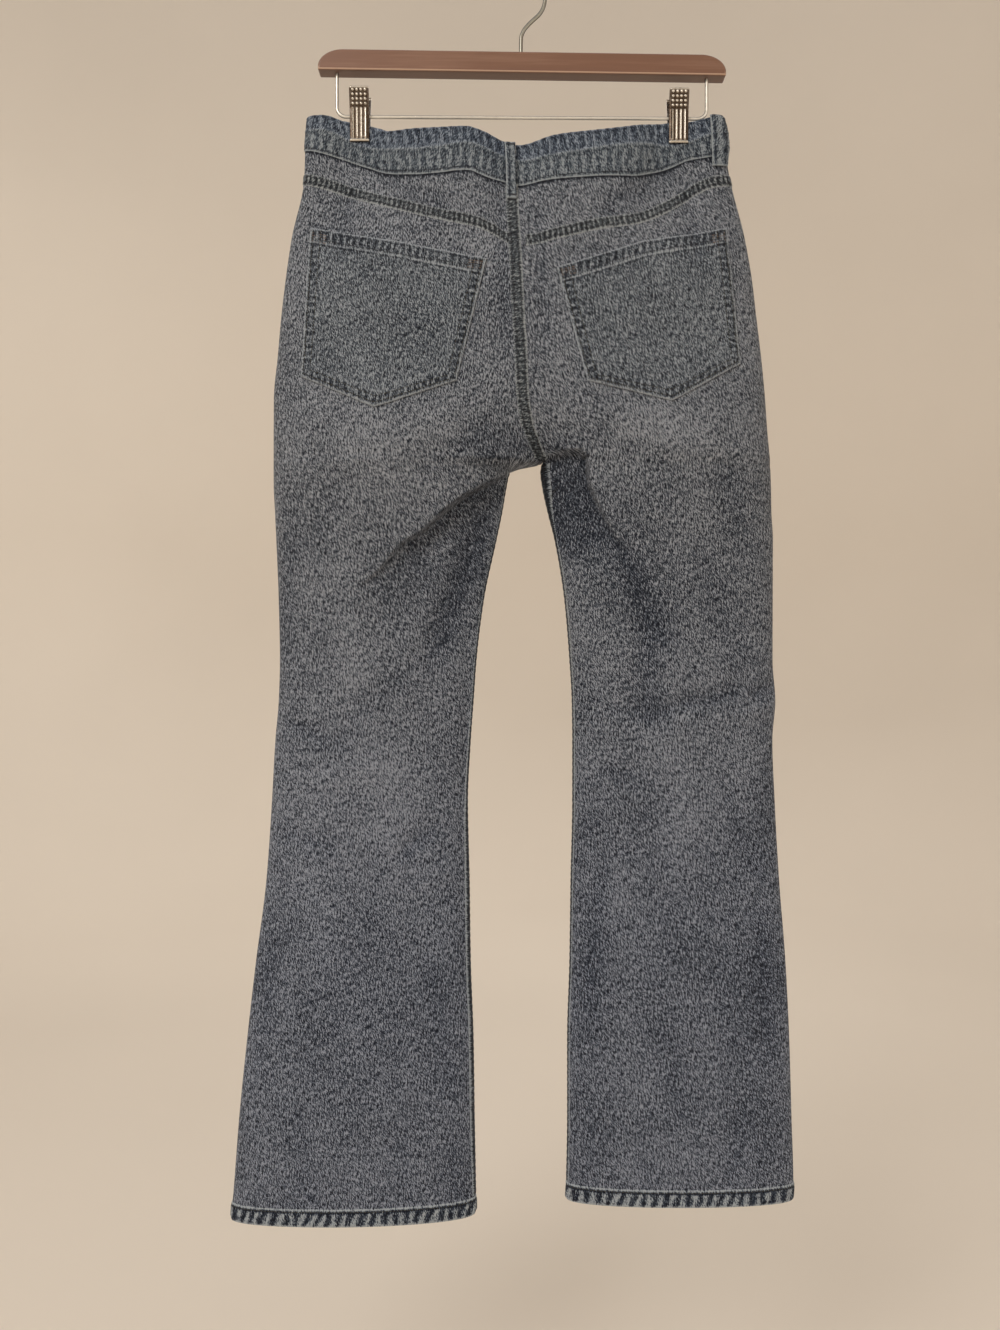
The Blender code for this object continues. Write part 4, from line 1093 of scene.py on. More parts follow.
@dataclass
class ClothShop:
    """Cuts and lays every piece of denim; the pieces share one surface and one wardrobe."""

    garment: Garment
    wear: WearAndPaintedShade
    wardrobe: Wardrobe
    cloth_wall: float = 1.5
    hem_pitch: float = 9.5
    hem_wall: float = 3.2
    pieces: Dict[str, bpy.types.Object] = field(default_factory=dict)

    def faces(self, finish: DenimFinish) -> Tuple[bpy.types.Material, bpy.types.Material]:
        """A washed face and the paler reverse."""
        return self.wardrobe.denim(finish), self.wardrobe.denim(Wardrobe.REVERSE)

    def lay(self, side: Side, face: Face, u: Array, drop: Array, lift: Array) -> Sheet:
        """A grid laid on the cloth.

        Args:
            side: The wearer's side.
            face: The back or the front.
            u: Shares across.
            drop: Drops below the hook.
            lift: How far the grid's outer face stands off the surface.

        Returns:
            The grid, with its map, its wear and its painted shade.
        """
        u, drop, lift = np.broadcast_arrays(*(np.asarray(value, float) for value in (u, drop, lift)))
        normal = self.garment.outward(side, face, u, drop)
        base = self.garment.cloth(side, face, u, drop)
        points = self.garment.seam_clear(base + normal * lift[..., None], side, face, u, drop)
        fields = self.wear.fields(self.garment, face, points[..., 0], drop)
        step = np.linalg.norm(np.diff(base, axis=1), axis=2)
        along = np.concatenate([np.zeros((len(step), 1)), np.cumsum(step, axis=1)], axis=1)
        toward = 1.0 if (side is Side.LEFT) == (face is Face.BACK) else -1.0
        shift = 700.0 * (side is Side.RIGHT) + 1500.0 * (face is Face.FRONT)
        uv = np.stack([toward * along + shift, -drop], -1)
        return Sheet(points, normal, uv, fields)

    def keep(self, name: str, made: bpy.types.Object, *nodes: str) -> bpy.types.Object:
        """Hangs a finished piece on the body and records it."""
        if nodes:
            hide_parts(*nodes)
        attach(made, "root")
        self.pieces[name] = made
        LOG.info("%s: %d faces", name, len(made.data.polygons))
        return made

    def panel(self, side: Side, face: Face) -> bpy.types.Object:
        """A leg's back or front, from its top seam to the hem."""
        g = self.garment
        if face is Face.BACK:
            fine, close = 2.5, 1.3
            u = np.concatenate([np.linspace(0.0, 0.45, 40), np.linspace(0.45, 1.0, 96)[1:]])
            top = g.edge_along(YOKE_FOOT, side, face, u) + g.seam_gap / 2
        else:
            fine, close = 4.2, 3.2
            u = np.linspace(0.0, 1.0, 68)
            top = g.edge_along(BAND_FOOT_FRONT, side, face, u) + FrontMouth.depth(u) + g.seam_gap / 2
        foot = g.hem_drop(side, u) - g.hem_height + 1.0
        levels = np.concatenate([np.arange(245.0, 425.0, fine * 1.25), np.arange(425.0, 560.0, close),
                                 np.arange(560.0, foot.max(), fine * 1.35)])
        share = (levels - levels[0]) / (levels[-1] - levels[0])
        start, end = 245.0, float(levels[-1])
        drop = levels[:, None] + (top - start) * (1 - ramp(share[:, None] / 0.22)) + (foot - end) * ramp(
            (share[:, None] - 0.75) / 0.25)
        grid = self.lay(side, face, u, drop, 0.0)
        name = "%s_%s" % (face.name.lower(), side.value)
        made = grid.build(name + "_panel", self.cloth_wall, self.faces(Wardrobe.DENIM))
        return self.keep(name, made, name)

    def yoke(self, side: Side) -> bpy.types.Object:
        """The shaped piece between the waistband and the seat."""
        g = self.garment
        u = np.linspace(0.0, 1.0, 110)
        top = g.edge_along(BAND_FOOT_BACK, side, Face.BACK, u) - 1.5
        foot = g.edge_along(YOKE_FOOT, side, Face.BACK, u) - g.seam_gap / 2
        down = np.concatenate([np.linspace(0.0, 0.12, 12), np.linspace(0.12, 1.0, 26)[1:]])[:, None]
        drop = top + (foot - top) * down
        grid = self.lay(side, Face.BACK, u, drop, 0.0)
        # Painted shadow: a dark line just under the waistband's foot and a softer shade below it.
        below = drop - top - 1.5
        grid.add("shade", 1.9 * bell(below, 0.7, 1.4) + 0.25 * bell(below, 0.0, 4.0))
        made = grid.build("yoke_%s_cloth" % side.value, self.cloth_wall, self.faces(Wardrobe.DENIM))
        return self.keep("yoke_" + side.value, made, "yoke_" + side.value)

    def facing(self, side: Side) -> bpy.types.Object:
        """The piece that shows in the mouth of a front pocket."""
        g = self.garment
        u = np.linspace(0.0, 0.585, 60)
        top = g.edge_along(BAND_FOOT_FRONT, side, Face.FRONT, u) - 1.5
        drop = top + (FrontMouth.depth(u) + 3.0) * np.linspace(0, 1, 24)[:, None]
        made = self.lay(side, Face.FRONT, u, drop, -1.2).build("pocket_facing_%s_cloth" % side.value, 1.2,
                                                              self.faces(Wardrobe.DENIM))
        return self.keep("pocket_facing_" + side.value, made, "pocket_facing_" + side.value)

    def hem(self, side: Side) -> bpy.types.Object:
        """A turned and roped hem, all round the leg."""
        g = self.garment
        back = np.linspace(0.0, 1.0, 210)
        front = np.linspace(1.0, 0.0, 190)
        rows = np.array([0.0, 0.35, 0.8, 1.8, 3.0, 4.4, 5.8, 7.2, 8.6, 10.0, 11.4, 12.8, 14.0, 14.7, 15.2])
        parts = []
        for face, u in ((Face.BACK, back), (Face.FRONT, front)):
            bottom = g.hem_drop(side, u)
            drop = bottom - g.hem_height - 0.2 + rows[:, None]
            lift = np.zeros(drop.shape) + 0.9
            lift = lift - 0.8 * bell(rows[:, None], 0.0, 0.9) - 1.0 * ramp((rows[:, None] - 13.2) / 2.0)
            lift = lift - 0.45 * bell(rows[:, None], 2.6, 0.7)
            grid = self.lay(side, face, u, drop, lift)
            along = grid.uv[..., 0]
            phase = (along / self.hem_pitch + 0.25 * rows[:, None] / 15.0
                     + 0.35 * np.sin(along / 37.0) + 0.2 * np.sin(along / 13.0))
            body = ramp((rows[:, None] - 3.0) / 2.0) * ramp((15.6 - rows[:, None]) / 1.6)
            grid.points = grid.points + grid.normal * (0.35 * np.sin(phase * 2 * math.pi) * body)[..., None]
            grid.fields["edge"] = band_lines(rows[:, None], ((0.6, 0.8, 1.0), (14.6, 1.0, 1.1))) + 0 * drop
            grid.add("shade", band_lines(rows[:, None], ((2.8, 0.9, 1.5),)) + 0 * drop)
            grid.fields["along"] = along
            grid.fields["across"] = rows[:, None] / 15.0 + 0 * drop
            grid.fields["roping"] = body
            parts.append(grid)
        first, second = parts
        points = np.concatenate([first.points, second.points], axis=1)
        normal = np.concatenate([first.normal, second.normal], axis=1)
        uv = np.concatenate([first.uv, second.uv], axis=1)
        fields = {key: np.concatenate([np.broadcast_to(first.fields[key], first.points.shape[:2]),
                                       np.broadcast_to(second.fields[key], second.points.shape[:2])], axis=1)
                  for key in first.fields}
        whole = Sheet(points, normal, uv, fields)
        made = whole.build("hem_%s_turned" % side.value, self.hem_wall, self.faces(Wardrobe.HEM), ring=True)
        return self.keep("hem_" + side.value, made)


class FrontMouth:
    """The curved mouth of the hidden front pockets."""

    ROWS: Tuple[Tuple[float, float], ...] = (
        (0.0, 88), (0.18, 84), (0.32, 74), (0.44, 55), (0.54, 26), (0.58, 0))

    @classmethod
    def depth(cls, u: Array) -> Array:
        """How far below the waistband the mouth's edge lies."""
        return smooth_curve(u, [row[0] for row in cls.ROWS], [row[1] for row in cls.ROWS])


@dataclass(frozen=True)
class PocketShape:
    """A pointed patch pocket's corners, each an x and a drop."""

    top_out: Tuple[float, float]
    top_mid: Tuple[float, float]
    top_in: Tuple[float, float]
    low_in: Tuple[float, float]
    tip: Tuple[float, float]
    low_out: Tuple[float, float]


POCKETS: Dict[Side, PocketShape] = {
    Side.LEFT: PocketShape((-182, 225.5), (-104, 241), (-30, 258.5), (-55, 364.5), (-124, 387.5), (-188, 357.5)),
    Side.RIGHT: PocketShape((177, 226), (104, 240), (30, 266), (55, 364.5), (126, 382), (187, 346)),
}


@dataclass
class Stitcher:
    """Sews lines of stitches on the cloth, one body for each stitch."""

    shop: ClothShop
    gap: float = 0.8
    runs: Dict[str, List[Tuple[Array, List[List[int]]]]] = field(default_factory=dict)

    def run(self, group: str, side: Side, face: Face, xs: Array, drops: Array, lift: float) -> None:
        """Sews along a line of the cloth.

        Args:
            group: The object that the stitches join.
            side: The wearer's side.
            face: The back or the front.
            xs: The line's places across.
            drops: The line's places down.
            lift: The height of the layer that is sewn.
        """
        g = self.shop.garment
        xs = np.asarray(xs, float)
        drops = np.asarray(drops, float)
        u = g.share_at(side, xs, drops)
        points = g.cloth(side, face, u, drops)
        normal = g.outward(side, face, u, drops)
        points = points + normal * lift
        self.follow(group, points, normal)

    def follow(self, group: str, points: Array, normal: Array, length: float = 2.3, width: float = 0.7) -> None:
        """Sews along points in space, evenly by length.

        Args:
            group: The object that the stitches join.
            points: The line's points.
            normal: The cloth's outward directions there.
            length: The length of a stitch.
            width: The thread's thickness.
        """
        step = np.linalg.norm(np.diff(points, axis=0), axis=1)
        far = np.concatenate([[0.0], np.cumsum(step)])
        pitch = length + self.gap
        starts = np.arange(int(far[-1] / pitch)) * pitch
        heads, tails, ups = [np.stack([np.interp(at, far, rows[:, axis]) for axis in range(3)], 1)
                             for at, rows in ((starts, points), (starts + length, points), (starts, normal))]
        for head, tail, up in zip(heads, tails, ups):
            body = stitch_body(head, tail, up / np.linalg.norm(up), width)
            self.runs.setdefault(group, []).append(body)

    def finish(self, finishes: Dict[str, bpy.types.Material], default: bpy.types.Material) -> None:
        """Joins each group into one object."""
        for group, bodies in self.runs.items():
            thread = join_meshes("stitches_" + group, bodies, finishes.get(group, default))
            self.shop.keep("stitches_" + group, thread)


@dataclass
class Waistband:
    """The waistband's two halves and the five belt loops."""

    shop: ClothShop
    sewing: Stitcher
    proud: float = 0.8
    wall: float = 2.4
    lap: float = 24.0
    lap_rise: float = 2.9
    loop_width: float = 12.6
    loop_wall: float = 1.3
    tick: float = 9.0
    streak: float = 8.0
    stitch_share: float = 0.93

    EDGES = {Face.BACK: (BAND_TOP_BACK, BAND_FOOT_BACK), Face.FRONT: (BAND_TOP_FRONT, BAND_FOOT_FRONT)}
    LOOPS = (
        # node, side, face, head and foot across, reach below the band
        ("belt_loop_back", Side.LEFT, Face.BACK, -8.4, -6.6, 13.0),
        ("belt_loop_right", Side.RIGHT, Face.BACK, 171.0, 173.0, 10.0),
        ("belt_loop_left", Side.LEFT, Face.FRONT, -172.0, -172.0, 10.0),
        ("belt_loop_front_left", Side.LEFT, Face.FRONT, -98.0, -98.0, 10.0),
        ("belt_loop_front_right", Side.RIGHT, Face.FRONT, 98.0, 98.0, 10.0),
    )

    def cuts(self, side: Side) -> List[Tuple[Side, Face, float, float]]:
        """The cuts across half the band, from the centre back to the centre front and the lap."""
        g = self.shop.garment
        across = np.linspace(0.0, 1.0, 150)
        rows = [(side, Face.BACK, 1 - float(t), 0.0) for t in across[:-1]]
        if side is Side.RIGHT:
            return rows + [(side, Face.FRONT, float(t), 0.0) for t in across]
        reach = float(g.share_at(Side.RIGHT, g.column("right_in", 165.0) + self.lap, 165.0))
        for t in across:
            rows.append((side, Face.FRONT, float(t), self.lap_rise * float(ramp((t - 0.90) / 0.06))))
        for t in np.linspace(0.0, 1.0, 14)[1:]:
            rows.append((Side.RIGHT, Face.FRONT, 1 - (1 - reach) * float(t), self.lap_rise))
        return rows

    def crease_level(self, x: Array) -> Array:
        """The share of the band's height where its worn crease runs, lower between the clips' jaws."""
        level = 0.40 + 0.04 * np.sin(x / 19.0)
        for clip in self.shop.garment.clip_x:
            level = level + 0.14 * bell(x, clip, 16.0)
        return level

    def half(self, side: Side) -> bpy.types.Object:
        """Half the band as one folded strip of denim."""
        g = self.shop.garment
        down = np.array([0.0, 0.02, 0.05, 0.09, *np.linspace(0.12, 0.86, 30), 0.89, 0.915, 0.93, 0.945, 0.965, 0.98,
                         0.99, 1.0])
        columns = []
        for where, face, share, rise in self.cuts(side):
            one = np.array([share])
            top, foot = self.EDGES[face]
            head = g.edge_along(top, where, face, one)[0]
            end = g.edge_along(foot, where, face, one)[0] - g.seam_gap / 2
            drop = head + (end - head) * down
            u = np.full(drop.shape, share)
            base = g.cloth(where, face, u, drop)
            normal = g.outward(where, face, u, drop)
            lift = self.proud + rise - 0.7 * bell(down, 0.0, 0.025) - 0.7 * bell(down, 1.0, 0.025)
            lift = lift - 0.28 * bell(down, 0.09, 0.028) - 0.28 * bell(down, 0.91, 0.028)
            points = base + normal * lift[:, None]
            if rise == 0.0 and share > 0.9:
                limit = g.column("left_in", drop)
                hold = np.minimum if side is Side.LEFT else np.maximum
                points[:, 0] = hold(points[:, 0], limit + (-0.15 if side is Side.LEFT else 0.15))
            fields = self.shop.wear.fields(g, face, points[:, 0], drop)
            columns.append((base, points, normal, drop, fields))
        base, points, normal, drop = (np.stack([c[k] for c in columns], 1) for k in range(4))
        fields = {key: np.stack([c[4][key] for c in columns], 1) for key in columns[0][4]}
        step = np.linalg.norm(np.diff(base[len(down) // 2], axis=0), axis=1)
        along = np.broadcast_to(np.concatenate([[0.0], np.cumsum(step)]), drop.shape)
        share = np.broadcast_to(down[:, None], drop.shape)
        crease = self.crease_level(points[..., 0])
        upper = 1 - ramp((share - crease) / 0.05 + 0.5)
        lean = 1.0 if side is Side.LEFT else -1.0
        slanted = along * self.tick / self.streak + lean * share * 9.5
        pucker = 0.25 * np.sin(along * 2 * math.pi / self.tick) * (1 - upper) * bell(share, 0.8, 0.2)
        ridge = 0.5 * bell(share, crease, 0.03)
        pucker = pucker + 0.2 * np.sin(slanted * 2 * math.pi / self.tick) * upper + ridge
        points = points + normal * pucker[..., None]
        fields["edge"] = band_lines(share, ((0.0, 0.02, 0.5), (0.99, 0.015, 1.3))) + ridge
        fields["blue"] = fields["blue"] + 0.5 * upper
        fields["shade"] = fields["shade"] + 0.27 * upper
        fields["shade"] = fields["shade"] + band_lines(share, ((0.93, 0.018, 0.8), (0.05, 0.03, 0.5)))
        fields["shade"] = fields["shade"] + 0.35 * bell(share - crease, 0.07, 0.04)
        fields["along"] = np.where(upper > 0.5, slanted, along)
        fields["across"] = share * 0
        fields["roping"] = np.where(upper > 0.5, 1.0 - ramp((share - crease + 0.12) / 0.1),
                                    ramp((share - crease - 0.06) / 0.1)) * (1 - ramp((share - 0.90) / 0.03))
        grid = Sheet(points, normal, np.stack([along + 2400.0, -drop], -1), fields)
        made = grid.build("waistband_%s_cloth" % side.value, self.wall, self.shop.faces(Wardrobe.BAND))
        row = int(np.argmin(np.abs(down - self.stitch_share)))
        self.sewing.follow("band_foot_" + side.value, points[row], normal[row], 1.5, 0.75)
        return self.shop.keep("waistband_" + side.value, made, "waistband_" + side.value)

    def loop(self, name: str, side: Side, face: Face, x_head: float, x_foot: float, foot: float) -> None:
        """A belt loop, sewn down at both ends and standing off the band between them.

        Args:
            name: Its CAD node.
            side: The wearer's side.
            face: The back or the front.
            x_head: Where its upper end lies across.
            x_foot: Where its lower end lies across.
            foot: How far below the band it ends.
        """
        g = self.shop.garment
        top, low = self.EDGES[face]
        head = float(g.edge_drop(top, x_head)) - 0.6
        end = float(g.edge_drop(low, x_foot)) + foot
        t = np.linspace(0.0, 1.0, 60)
        drops = head + (end - head) * t
        middle = x_head + (x_foot - x_head) * t
        across = np.linspace(-1.0, 1.0, 21)
        xs = middle[:, None] + across * self.loop_width / 2
        grid_drop = np.broadcast_to(drops[:, None], xs.shape)
        u = g.share_at(side, xs, grid_drop)
        proud = np.interp(t, (0.0, 0.06, 0.3, 0.62, 0.85, 1.0), (0.6, 1.6, 3.0, 3.0, 1.3, 0.5))
        lift = (self.proud + proud + self.loop_wall)[:, None] - 0.55 * np.abs(across) ** 8
        lift = lift + 0.25 * bell(np.abs(across), 0.62, 0.22) - 0.5 * bell(t[:, None], 0.0, 0.03)
        lift = lift - 0.35 * bell(t[:, None], 1.0, 0.02)
        grid = self.shop.lay(side, face, u, grid_drop, lift)
        off = np.abs(across)[None, :] + 0 * grid_drop
        t_grid = t[:, None] + 0 * grid_drop
        grid.fields["edge"] = band_lines(off, ((0.96, 0.10, 1.5),)) + band_lines(t_grid, ((1.0, 0.025, 1.3),))
        grid.add("edge", 0.5 * bell(across[None, :], 0.0, 0.25))
        grid.add("shade", band_lines(off, ((0.55, 0.14, 1.0),)))
        grid.fields["along"] = grid_drop
        grid.fields["across"] = off
        grid.fields["roping"] = 0.4 * bell(off, 0.7, 0.2)
        made = grid.build(name + "_cloth", self.loop_wall, (self.shop.wardrobe.denim(Wardrobe.BAND),))
        self.shop.keep(name, made, name)
        self.tack(name, grid, 56)
        self.tack(name, grid, 3)

    def tack(self, name: str, grid: Sheet, row: int) -> None:
        """A bar tack across a loop: close threads over its width."""
        bodies = []
        first, last = grid.points[row, 1], grid.points[row, -2]
        middle = grid.points.shape[1] // 2
        normal = grid.normal[row, middle]
        down = grid.points[row + 1, middle] - grid.points[row, middle]
        down = down / np.linalg.norm(down)
        count = int(np.linalg.norm(last - first) / 0.62)
        for k in range(count):
            centre = first + (last - first) * (k + 0.5) / count + normal * 0.1
            bodies.append(stitch_body(centre - down * 1.0, centre + down * 1.0, normal, 0.6, sides=5))
        made = join_meshes("%s_tack_%d" % (name, row), bodies, self.shop.wardrobe.plain(Wardrobe.THREAD))
        self.shop.keep("%s_tack_%d" % (name, row), made)

    def build(self) -> None:
        """Both halves and every loop."""
        self.half(Side.LEFT)
        self.half(Side.RIGHT)
        for row in self.LOOPS:
            self.loop(*row)


@dataclass
class PatchPockets:
    """The two pointed back pockets."""

    shop: ClothShop
    sewing: Stitcher
    clear: float = 0.55
    wall: float = 1.3
    hem: float = 12.5
    turned: float = 11.0

    def pocket(self, side: Side) -> bpy.types.Object:
        """One pocket: turned edges, a folded hem across its top and worn rims."""
        g = self.shop.garment
        shape = POCKETS[side]
        margin = np.array([0, .004, .008, .013, .018, .024, .031, .038, .046, .054, .062, .070, .078, .086])
        hem_rows = np.linspace(0.0, 0.145, 26)
        across = np.concatenate([margin, np.linspace(.095, .905, 76), 1 - margin[::-1]])
        down = np.concatenate([hem_rows, np.linspace(.155, .905, 70), 1 - margin[::-1]])[:, None]
        knots = (0.0, 0.5, 1.0)
        top = [np.interp(across, knots, [p[axis] for p in (shape.top_out, shape.top_mid, shape.top_in)])
               for axis in (0, 1)]
        sag = 4 * (across - 0.5) ** 2
        top[1] = top[1] + (1 - sag) * 1.6
        low = [np.interp(across, knots, [p[axis] for p in (shape.low_out, shape.tip, shape.low_in)])
               for axis in (0, 1)]
        low[1] = low[1] - 0.4 * bell(across, 0.5, 0.05)
        xs = top[0] + (low[0] - top[0]) * down
        drops = top[1] + (low[1] - top[1]) * down
        u = g.share_at(side, xs, drops)
        wide = np.abs(xs[:, -1] - xs[:, 0])[:, None]
        tall = (low[1] - top[1])[None, :]
        rim = np.minimum(across, 1 - across)[None, :] * wide
        head = down * tall
        tail = (1 - down) * tall * 0.95
        near = np.minimum(np.minimum(rim, tail), head)
        lift = self.clear + self.wall - 0.75 * bell(near, 0.0, 0.9)
        lift = lift + 0.55 * (1 - ramp((head - self.hem + 0.6) / 1.2))
        seam = np.minimum(rim, tail)
        edge_band = 1 - ramp((seam - self.turned + 0.8) / 1.6)
        lift = lift + 0.32 * edge_band
        for inset in (2.0, self.turned - 2.2):
            lift = lift - 0.25 * bell(seam, inset, 0.7)
        lift = lift - 0.25 * bell(head - self.hem, -1.8, 0.7)
        pucker = np.sin(drops / 1.05 + 2.0 * np.sin(drops / 17.0)) * bell(rim, 5.5, 4.0)
        pucker = pucker + np.sin(xs / 1.05 + 2.0 * np.sin(xs / 17.0)) * bell(tail, 5.5, 4.0)
        lift = lift + 0.16 * pucker + 0.8 * bell(head, 0.0, 8.0) * (1 - sag) * 0.8
        grid = self.shop.lay(side, Face.BACK, u, drops, lift)
        keep = grid.fields
        in_hem = 1 - ramp((head - self.hem) / 0.8 + 0.5)
        keep["edge"] = 1.35 * bell(near, 0.0, 1.2) + 0.9 * bell(head, self.hem, 0.8)
        keep["edge"] = keep["edge"] + 0.25 * bell(seam, self.turned, 1.2) * (1 - in_hem)
        # Painted shadow: a dark line just below the folded edge of the pocket's hem.
        keep["shade"] = keep["shade"] + 0.9 * bell(head - self.hem, 1.7, 0.8)
        keep["shade"] = keep["shade"] + 0.55 * bell(near, 2.9, 0.9) + 0.30 * edge_band * (1 - in_hem)
        keep["shade"] = keep["shade"] + 0.32 * in_hem + 0.12
        keep["along"] = np.where(head < self.hem, xs, np.where(rim < tail, drops, xs))
        keep["across"] = np.where(head < self.hem, head, seam) / 12.0
        keep["roping"] = np.clip(in_hem * np.exp(-((head - 6.5) / 4.2) ** 4)
                                 + 0.8 * edge_band * (1 - in_hem) * np.exp(-((seam - 6.0) / 4.0) ** 4), 0, 1)
        made = grid.build("pocket_%s_cloth" % side.value, self.wall + 0.25, self.shop.faces(Wardrobe.POCKET))
        self.shop.keep("pocket_" + side.value, made, "pocket_" + side.value)
        self.sew(side, grid, head, rim, tail)
        return made

    def sew(self, side: Side, grid: Sheet, head: Array, rim: Array, tail: Array) -> None:
        """The double row round the pocket, its hem's row and its corner tacks."""
        group = "pocket_" + side.value
        middle = grid.points.shape[1] // 2
        for inset in (2.9, 8.6):
            col = int(np.argmin(np.abs(rim[60, :middle] - inset)))
            row = len(tail) - 1 - int(np.argmin(np.abs(tail[::-1, middle] - inset)))
            for c in (col, grid.points.shape[1] - 1 - col):
                self.sewing.follow(group, grid.points[2:row, c], grid.normal[2:row, c])
            self.sewing.follow(group, grid.points[row, col:-col], grid.normal[row, col:-col])
        row = int(np.argmin(np.abs(head[:, middle] - self.hem + 1.8)))
        self.sewing.follow(group + "_hem", grid.points[row, 3:-3], grid.normal[row, 3:-3])
        bodies = []
        for start, end in ((3, 14), (-4, -15)):
            for row in (6, 9, 12, 15):
                line = np.linspace(grid.points[row, start], grid.points[row + 1, end], 5)
                for a, b in zip(line, line[1:]):
                    bodies.append(stitch_body(a, b, grid.normal[row, start], 0.6, sides=5))
        made = join_meshes(group + "_tacks", bodies, self.shop.wardrobe.plain(Wardrobe.THREAD_TAN))
        self.shop.keep(group + "_tacks", made)

    def build(self) -> None:
        """Both pockets."""
        self.pocket(Side.LEFT)
        self.pocket(Side.RIGHT)


@dataclass
class Seams:
    """The raised bands where pieces join, and the lines of thread along them."""

    shop: ClothShop
    sewing: Stitcher

    INSEAM_REACH = {
        Side.LEFT: ((436.0, 520.0, 700.0, 800.0, 980.0, 1072.0), (1.0, 1.2, 2.0, 3.6, 3.6, 2.4)),
        Side.RIGHT: ((428.0, 436.0, 447.0, 465.0, 480.0, 500.0, 1060.0), (6.5, 7.5, 7.0, 4.5, 2.6, 1.4, 1.4)),
    }

    def ground(self, on_left: Array, on_back: Array, xs: Array, drops: Array
               ) -> Tuple[Array, Array, Dict[str, Array]]:
        """The cloth under places that may lie on either side and either face.

        Args:
            on_left: Whether each place is on the wearer's left.
            on_back: Whether each place is on the back.
            xs: The places across.
            drops: The places down.

        Returns:
            The cloth's points, its normals and its wear and painted shade there.
        """
        g = self.shop.garment
        points = np.zeros(xs.shape + (3,))
        normal = np.zeros(xs.shape + (3,))
        fields: Dict[str, Array] = {}
        for side in Side:
            for face in Face:
                here = (on_left == (side is Side.LEFT)) & (on_back == (face is Face.BACK))
                if not here.any():
                    continue
                u = g.share_at(side, xs, drops)
                points = np.where(here[..., None], g.cloth(side, face, u, drops), points)
                normal = np.where(here[..., None], g.outward(side, face, u, drops), normal)
                for key, value in self.shop.wear.fields(g, face, xs, drops).items():
                    fields[key] = np.where(here, value, fields.get(key, 0.0))
        return points, normal, fields

    def band(self, name: str, on_left: Array, on_back: Array, xs: Array, drops: Array, rise: float, pitch: float,
             edges: Tuple[float, float], roping: float, shade: float) -> bpy.types.Object:
        """A narrow raised band laid on the cloth, its width along the first axis.

        Args:
            name: The piece's name.
            on_left: Whether each place is on the wearer's left.
            on_back: Whether each place is on the back.
            xs: The places across.
            drops: The places down.
            rise: The band's height over the cloth.
            pitch: The spacing of its puckers in millimetres.
            edges: How worn its first and last edges are.
            roping: How strong its light and dark bars are.
            shade: How dark its middle is.

        Returns:
            The band.
        """
        base, normal, fields = self.ground(on_left, on_back, xs, drops)
        step = np.linalg.norm(np.diff(base[len(base) // 2], axis=0), axis=1)
        along = np.broadcast_to(np.concatenate([[0.0], np.cumsum(step)]), xs.shape)
        share = np.broadcast_to(np.linspace(0.0, 1.0, len(xs))[:, None], xs.shape)
        body = 1 - np.abs(2 * share - 1) ** 5
        lift = rise * (1 - np.abs(2 * share - 1) ** 7) + 0.05
        lift = lift - 0.22 * bell(share, 0.2, 0.07) - 0.22 * bell(share, 0.8, 0.07)
        phase = along * 2 * math.pi / pitch + 1.7 * np.sin(along / 29.0) + 1.2 * share
        lift = lift + 0.16 * np.sin(phase) * body
        points = base + normal * lift[..., None]
        fields["edge"] = edges[0] * bell(share, 0.0, 0.10) + edges[1] * bell(share, 1.0, 0.10)
        fields["shade"] = fields["shade"] + shade * body + 0.4 * bell(share, 0.24, 0.07)
        fields["shade"] = fields["shade"] + 0.4 * bell(share, 0.76, 0.07)
        fields["along"] = along
        fields["across"] = share
        fields["roping"] = roping * body
        uv = np.stack([along + 5000.0, share * 11.0], -1)
        made = Sheet(points, normal, uv, fields).build(name, 0.55, (self.shop.wardrobe.denim(Wardrobe.SEAM),))
        for row in (int(len(points) * 0.24), int(len(points) * 0.76)):
            self.sewing.follow(name, points[row], normal[row])
        return self.shop.keep(name, made)

    def yoke(self, side: Side) -> None:
        """The felled seam between the yoke and the seat."""
        g = self.shop.garment
        u = np.linspace(0.0, 0.985, 190)
        foot = g.edge_along(YOKE_FOOT, side, Face.BACK, u)
        drops = foot - 9.8 + 10.4 * np.linspace(0.0, 1.0, 17)[:, None]
        xs = g.cloth(side, Face.BACK, u + 0 * drops, drops)[..., 0]
        left, back = np.full(xs.shape, side is Side.LEFT), np.full(xs.shape, True)
        self.band("seam_yoke_" + side.value, left, back, xs, drops, 0.75, 4.6, (0.7, 1.1), 1.0, 0.35)

    def centre_back(self) -> None:
        """The felled seam down the centre back, most of it over the left panel."""
        g = self.shop.garment
        drops = np.broadcast_to(np.linspace(188.0, 426.5, 220), (19, 220))
        over = np.linspace(-9.7, 1.0, 19)[:, None] + 2.4 * ramp((drops - 414.0) / 12.0)
        xs = g.column("left_in", drops) + over + 0.4 * np.sin(drops / 23.0)
        back = np.full(xs.shape, True)
        self.band("seam_centre_back", over < 0, back, xs, drops, 0.85, 5.2, (0.45, 1.15), 0.5, 0.40)

    def inseam(self, side: Side) -> None:
        """The felled inseam, wrapped round the leg's inner edge."""
        g = self.shop.garment
        low = g.hems[side][1] - g.hem_height - 1.0
        drops = np.broadcast_to(np.linspace(428.0 if side is Side.RIGHT else 436.0, low, 420), (21, 420))
        reach = smooth_curve(drops, *self.INSEAM_REACH[side])
        part = np.linspace(-1.0, 1.0, 21)[:, None] + 0 * drops
        toward = -1.0 if side is Side.LEFT else 1.0
        xs = g.column(side.value + "_in", drops) + toward * part * part * np.where(part > 0, reach, 2.2)
        left = np.full(xs.shape, side is Side.LEFT)
        self.band("seam_inseam_" + side.value, left, part > 0, xs, drops, 0.5, 6.0, (0.5, 1.5), 0.2, 0.55)

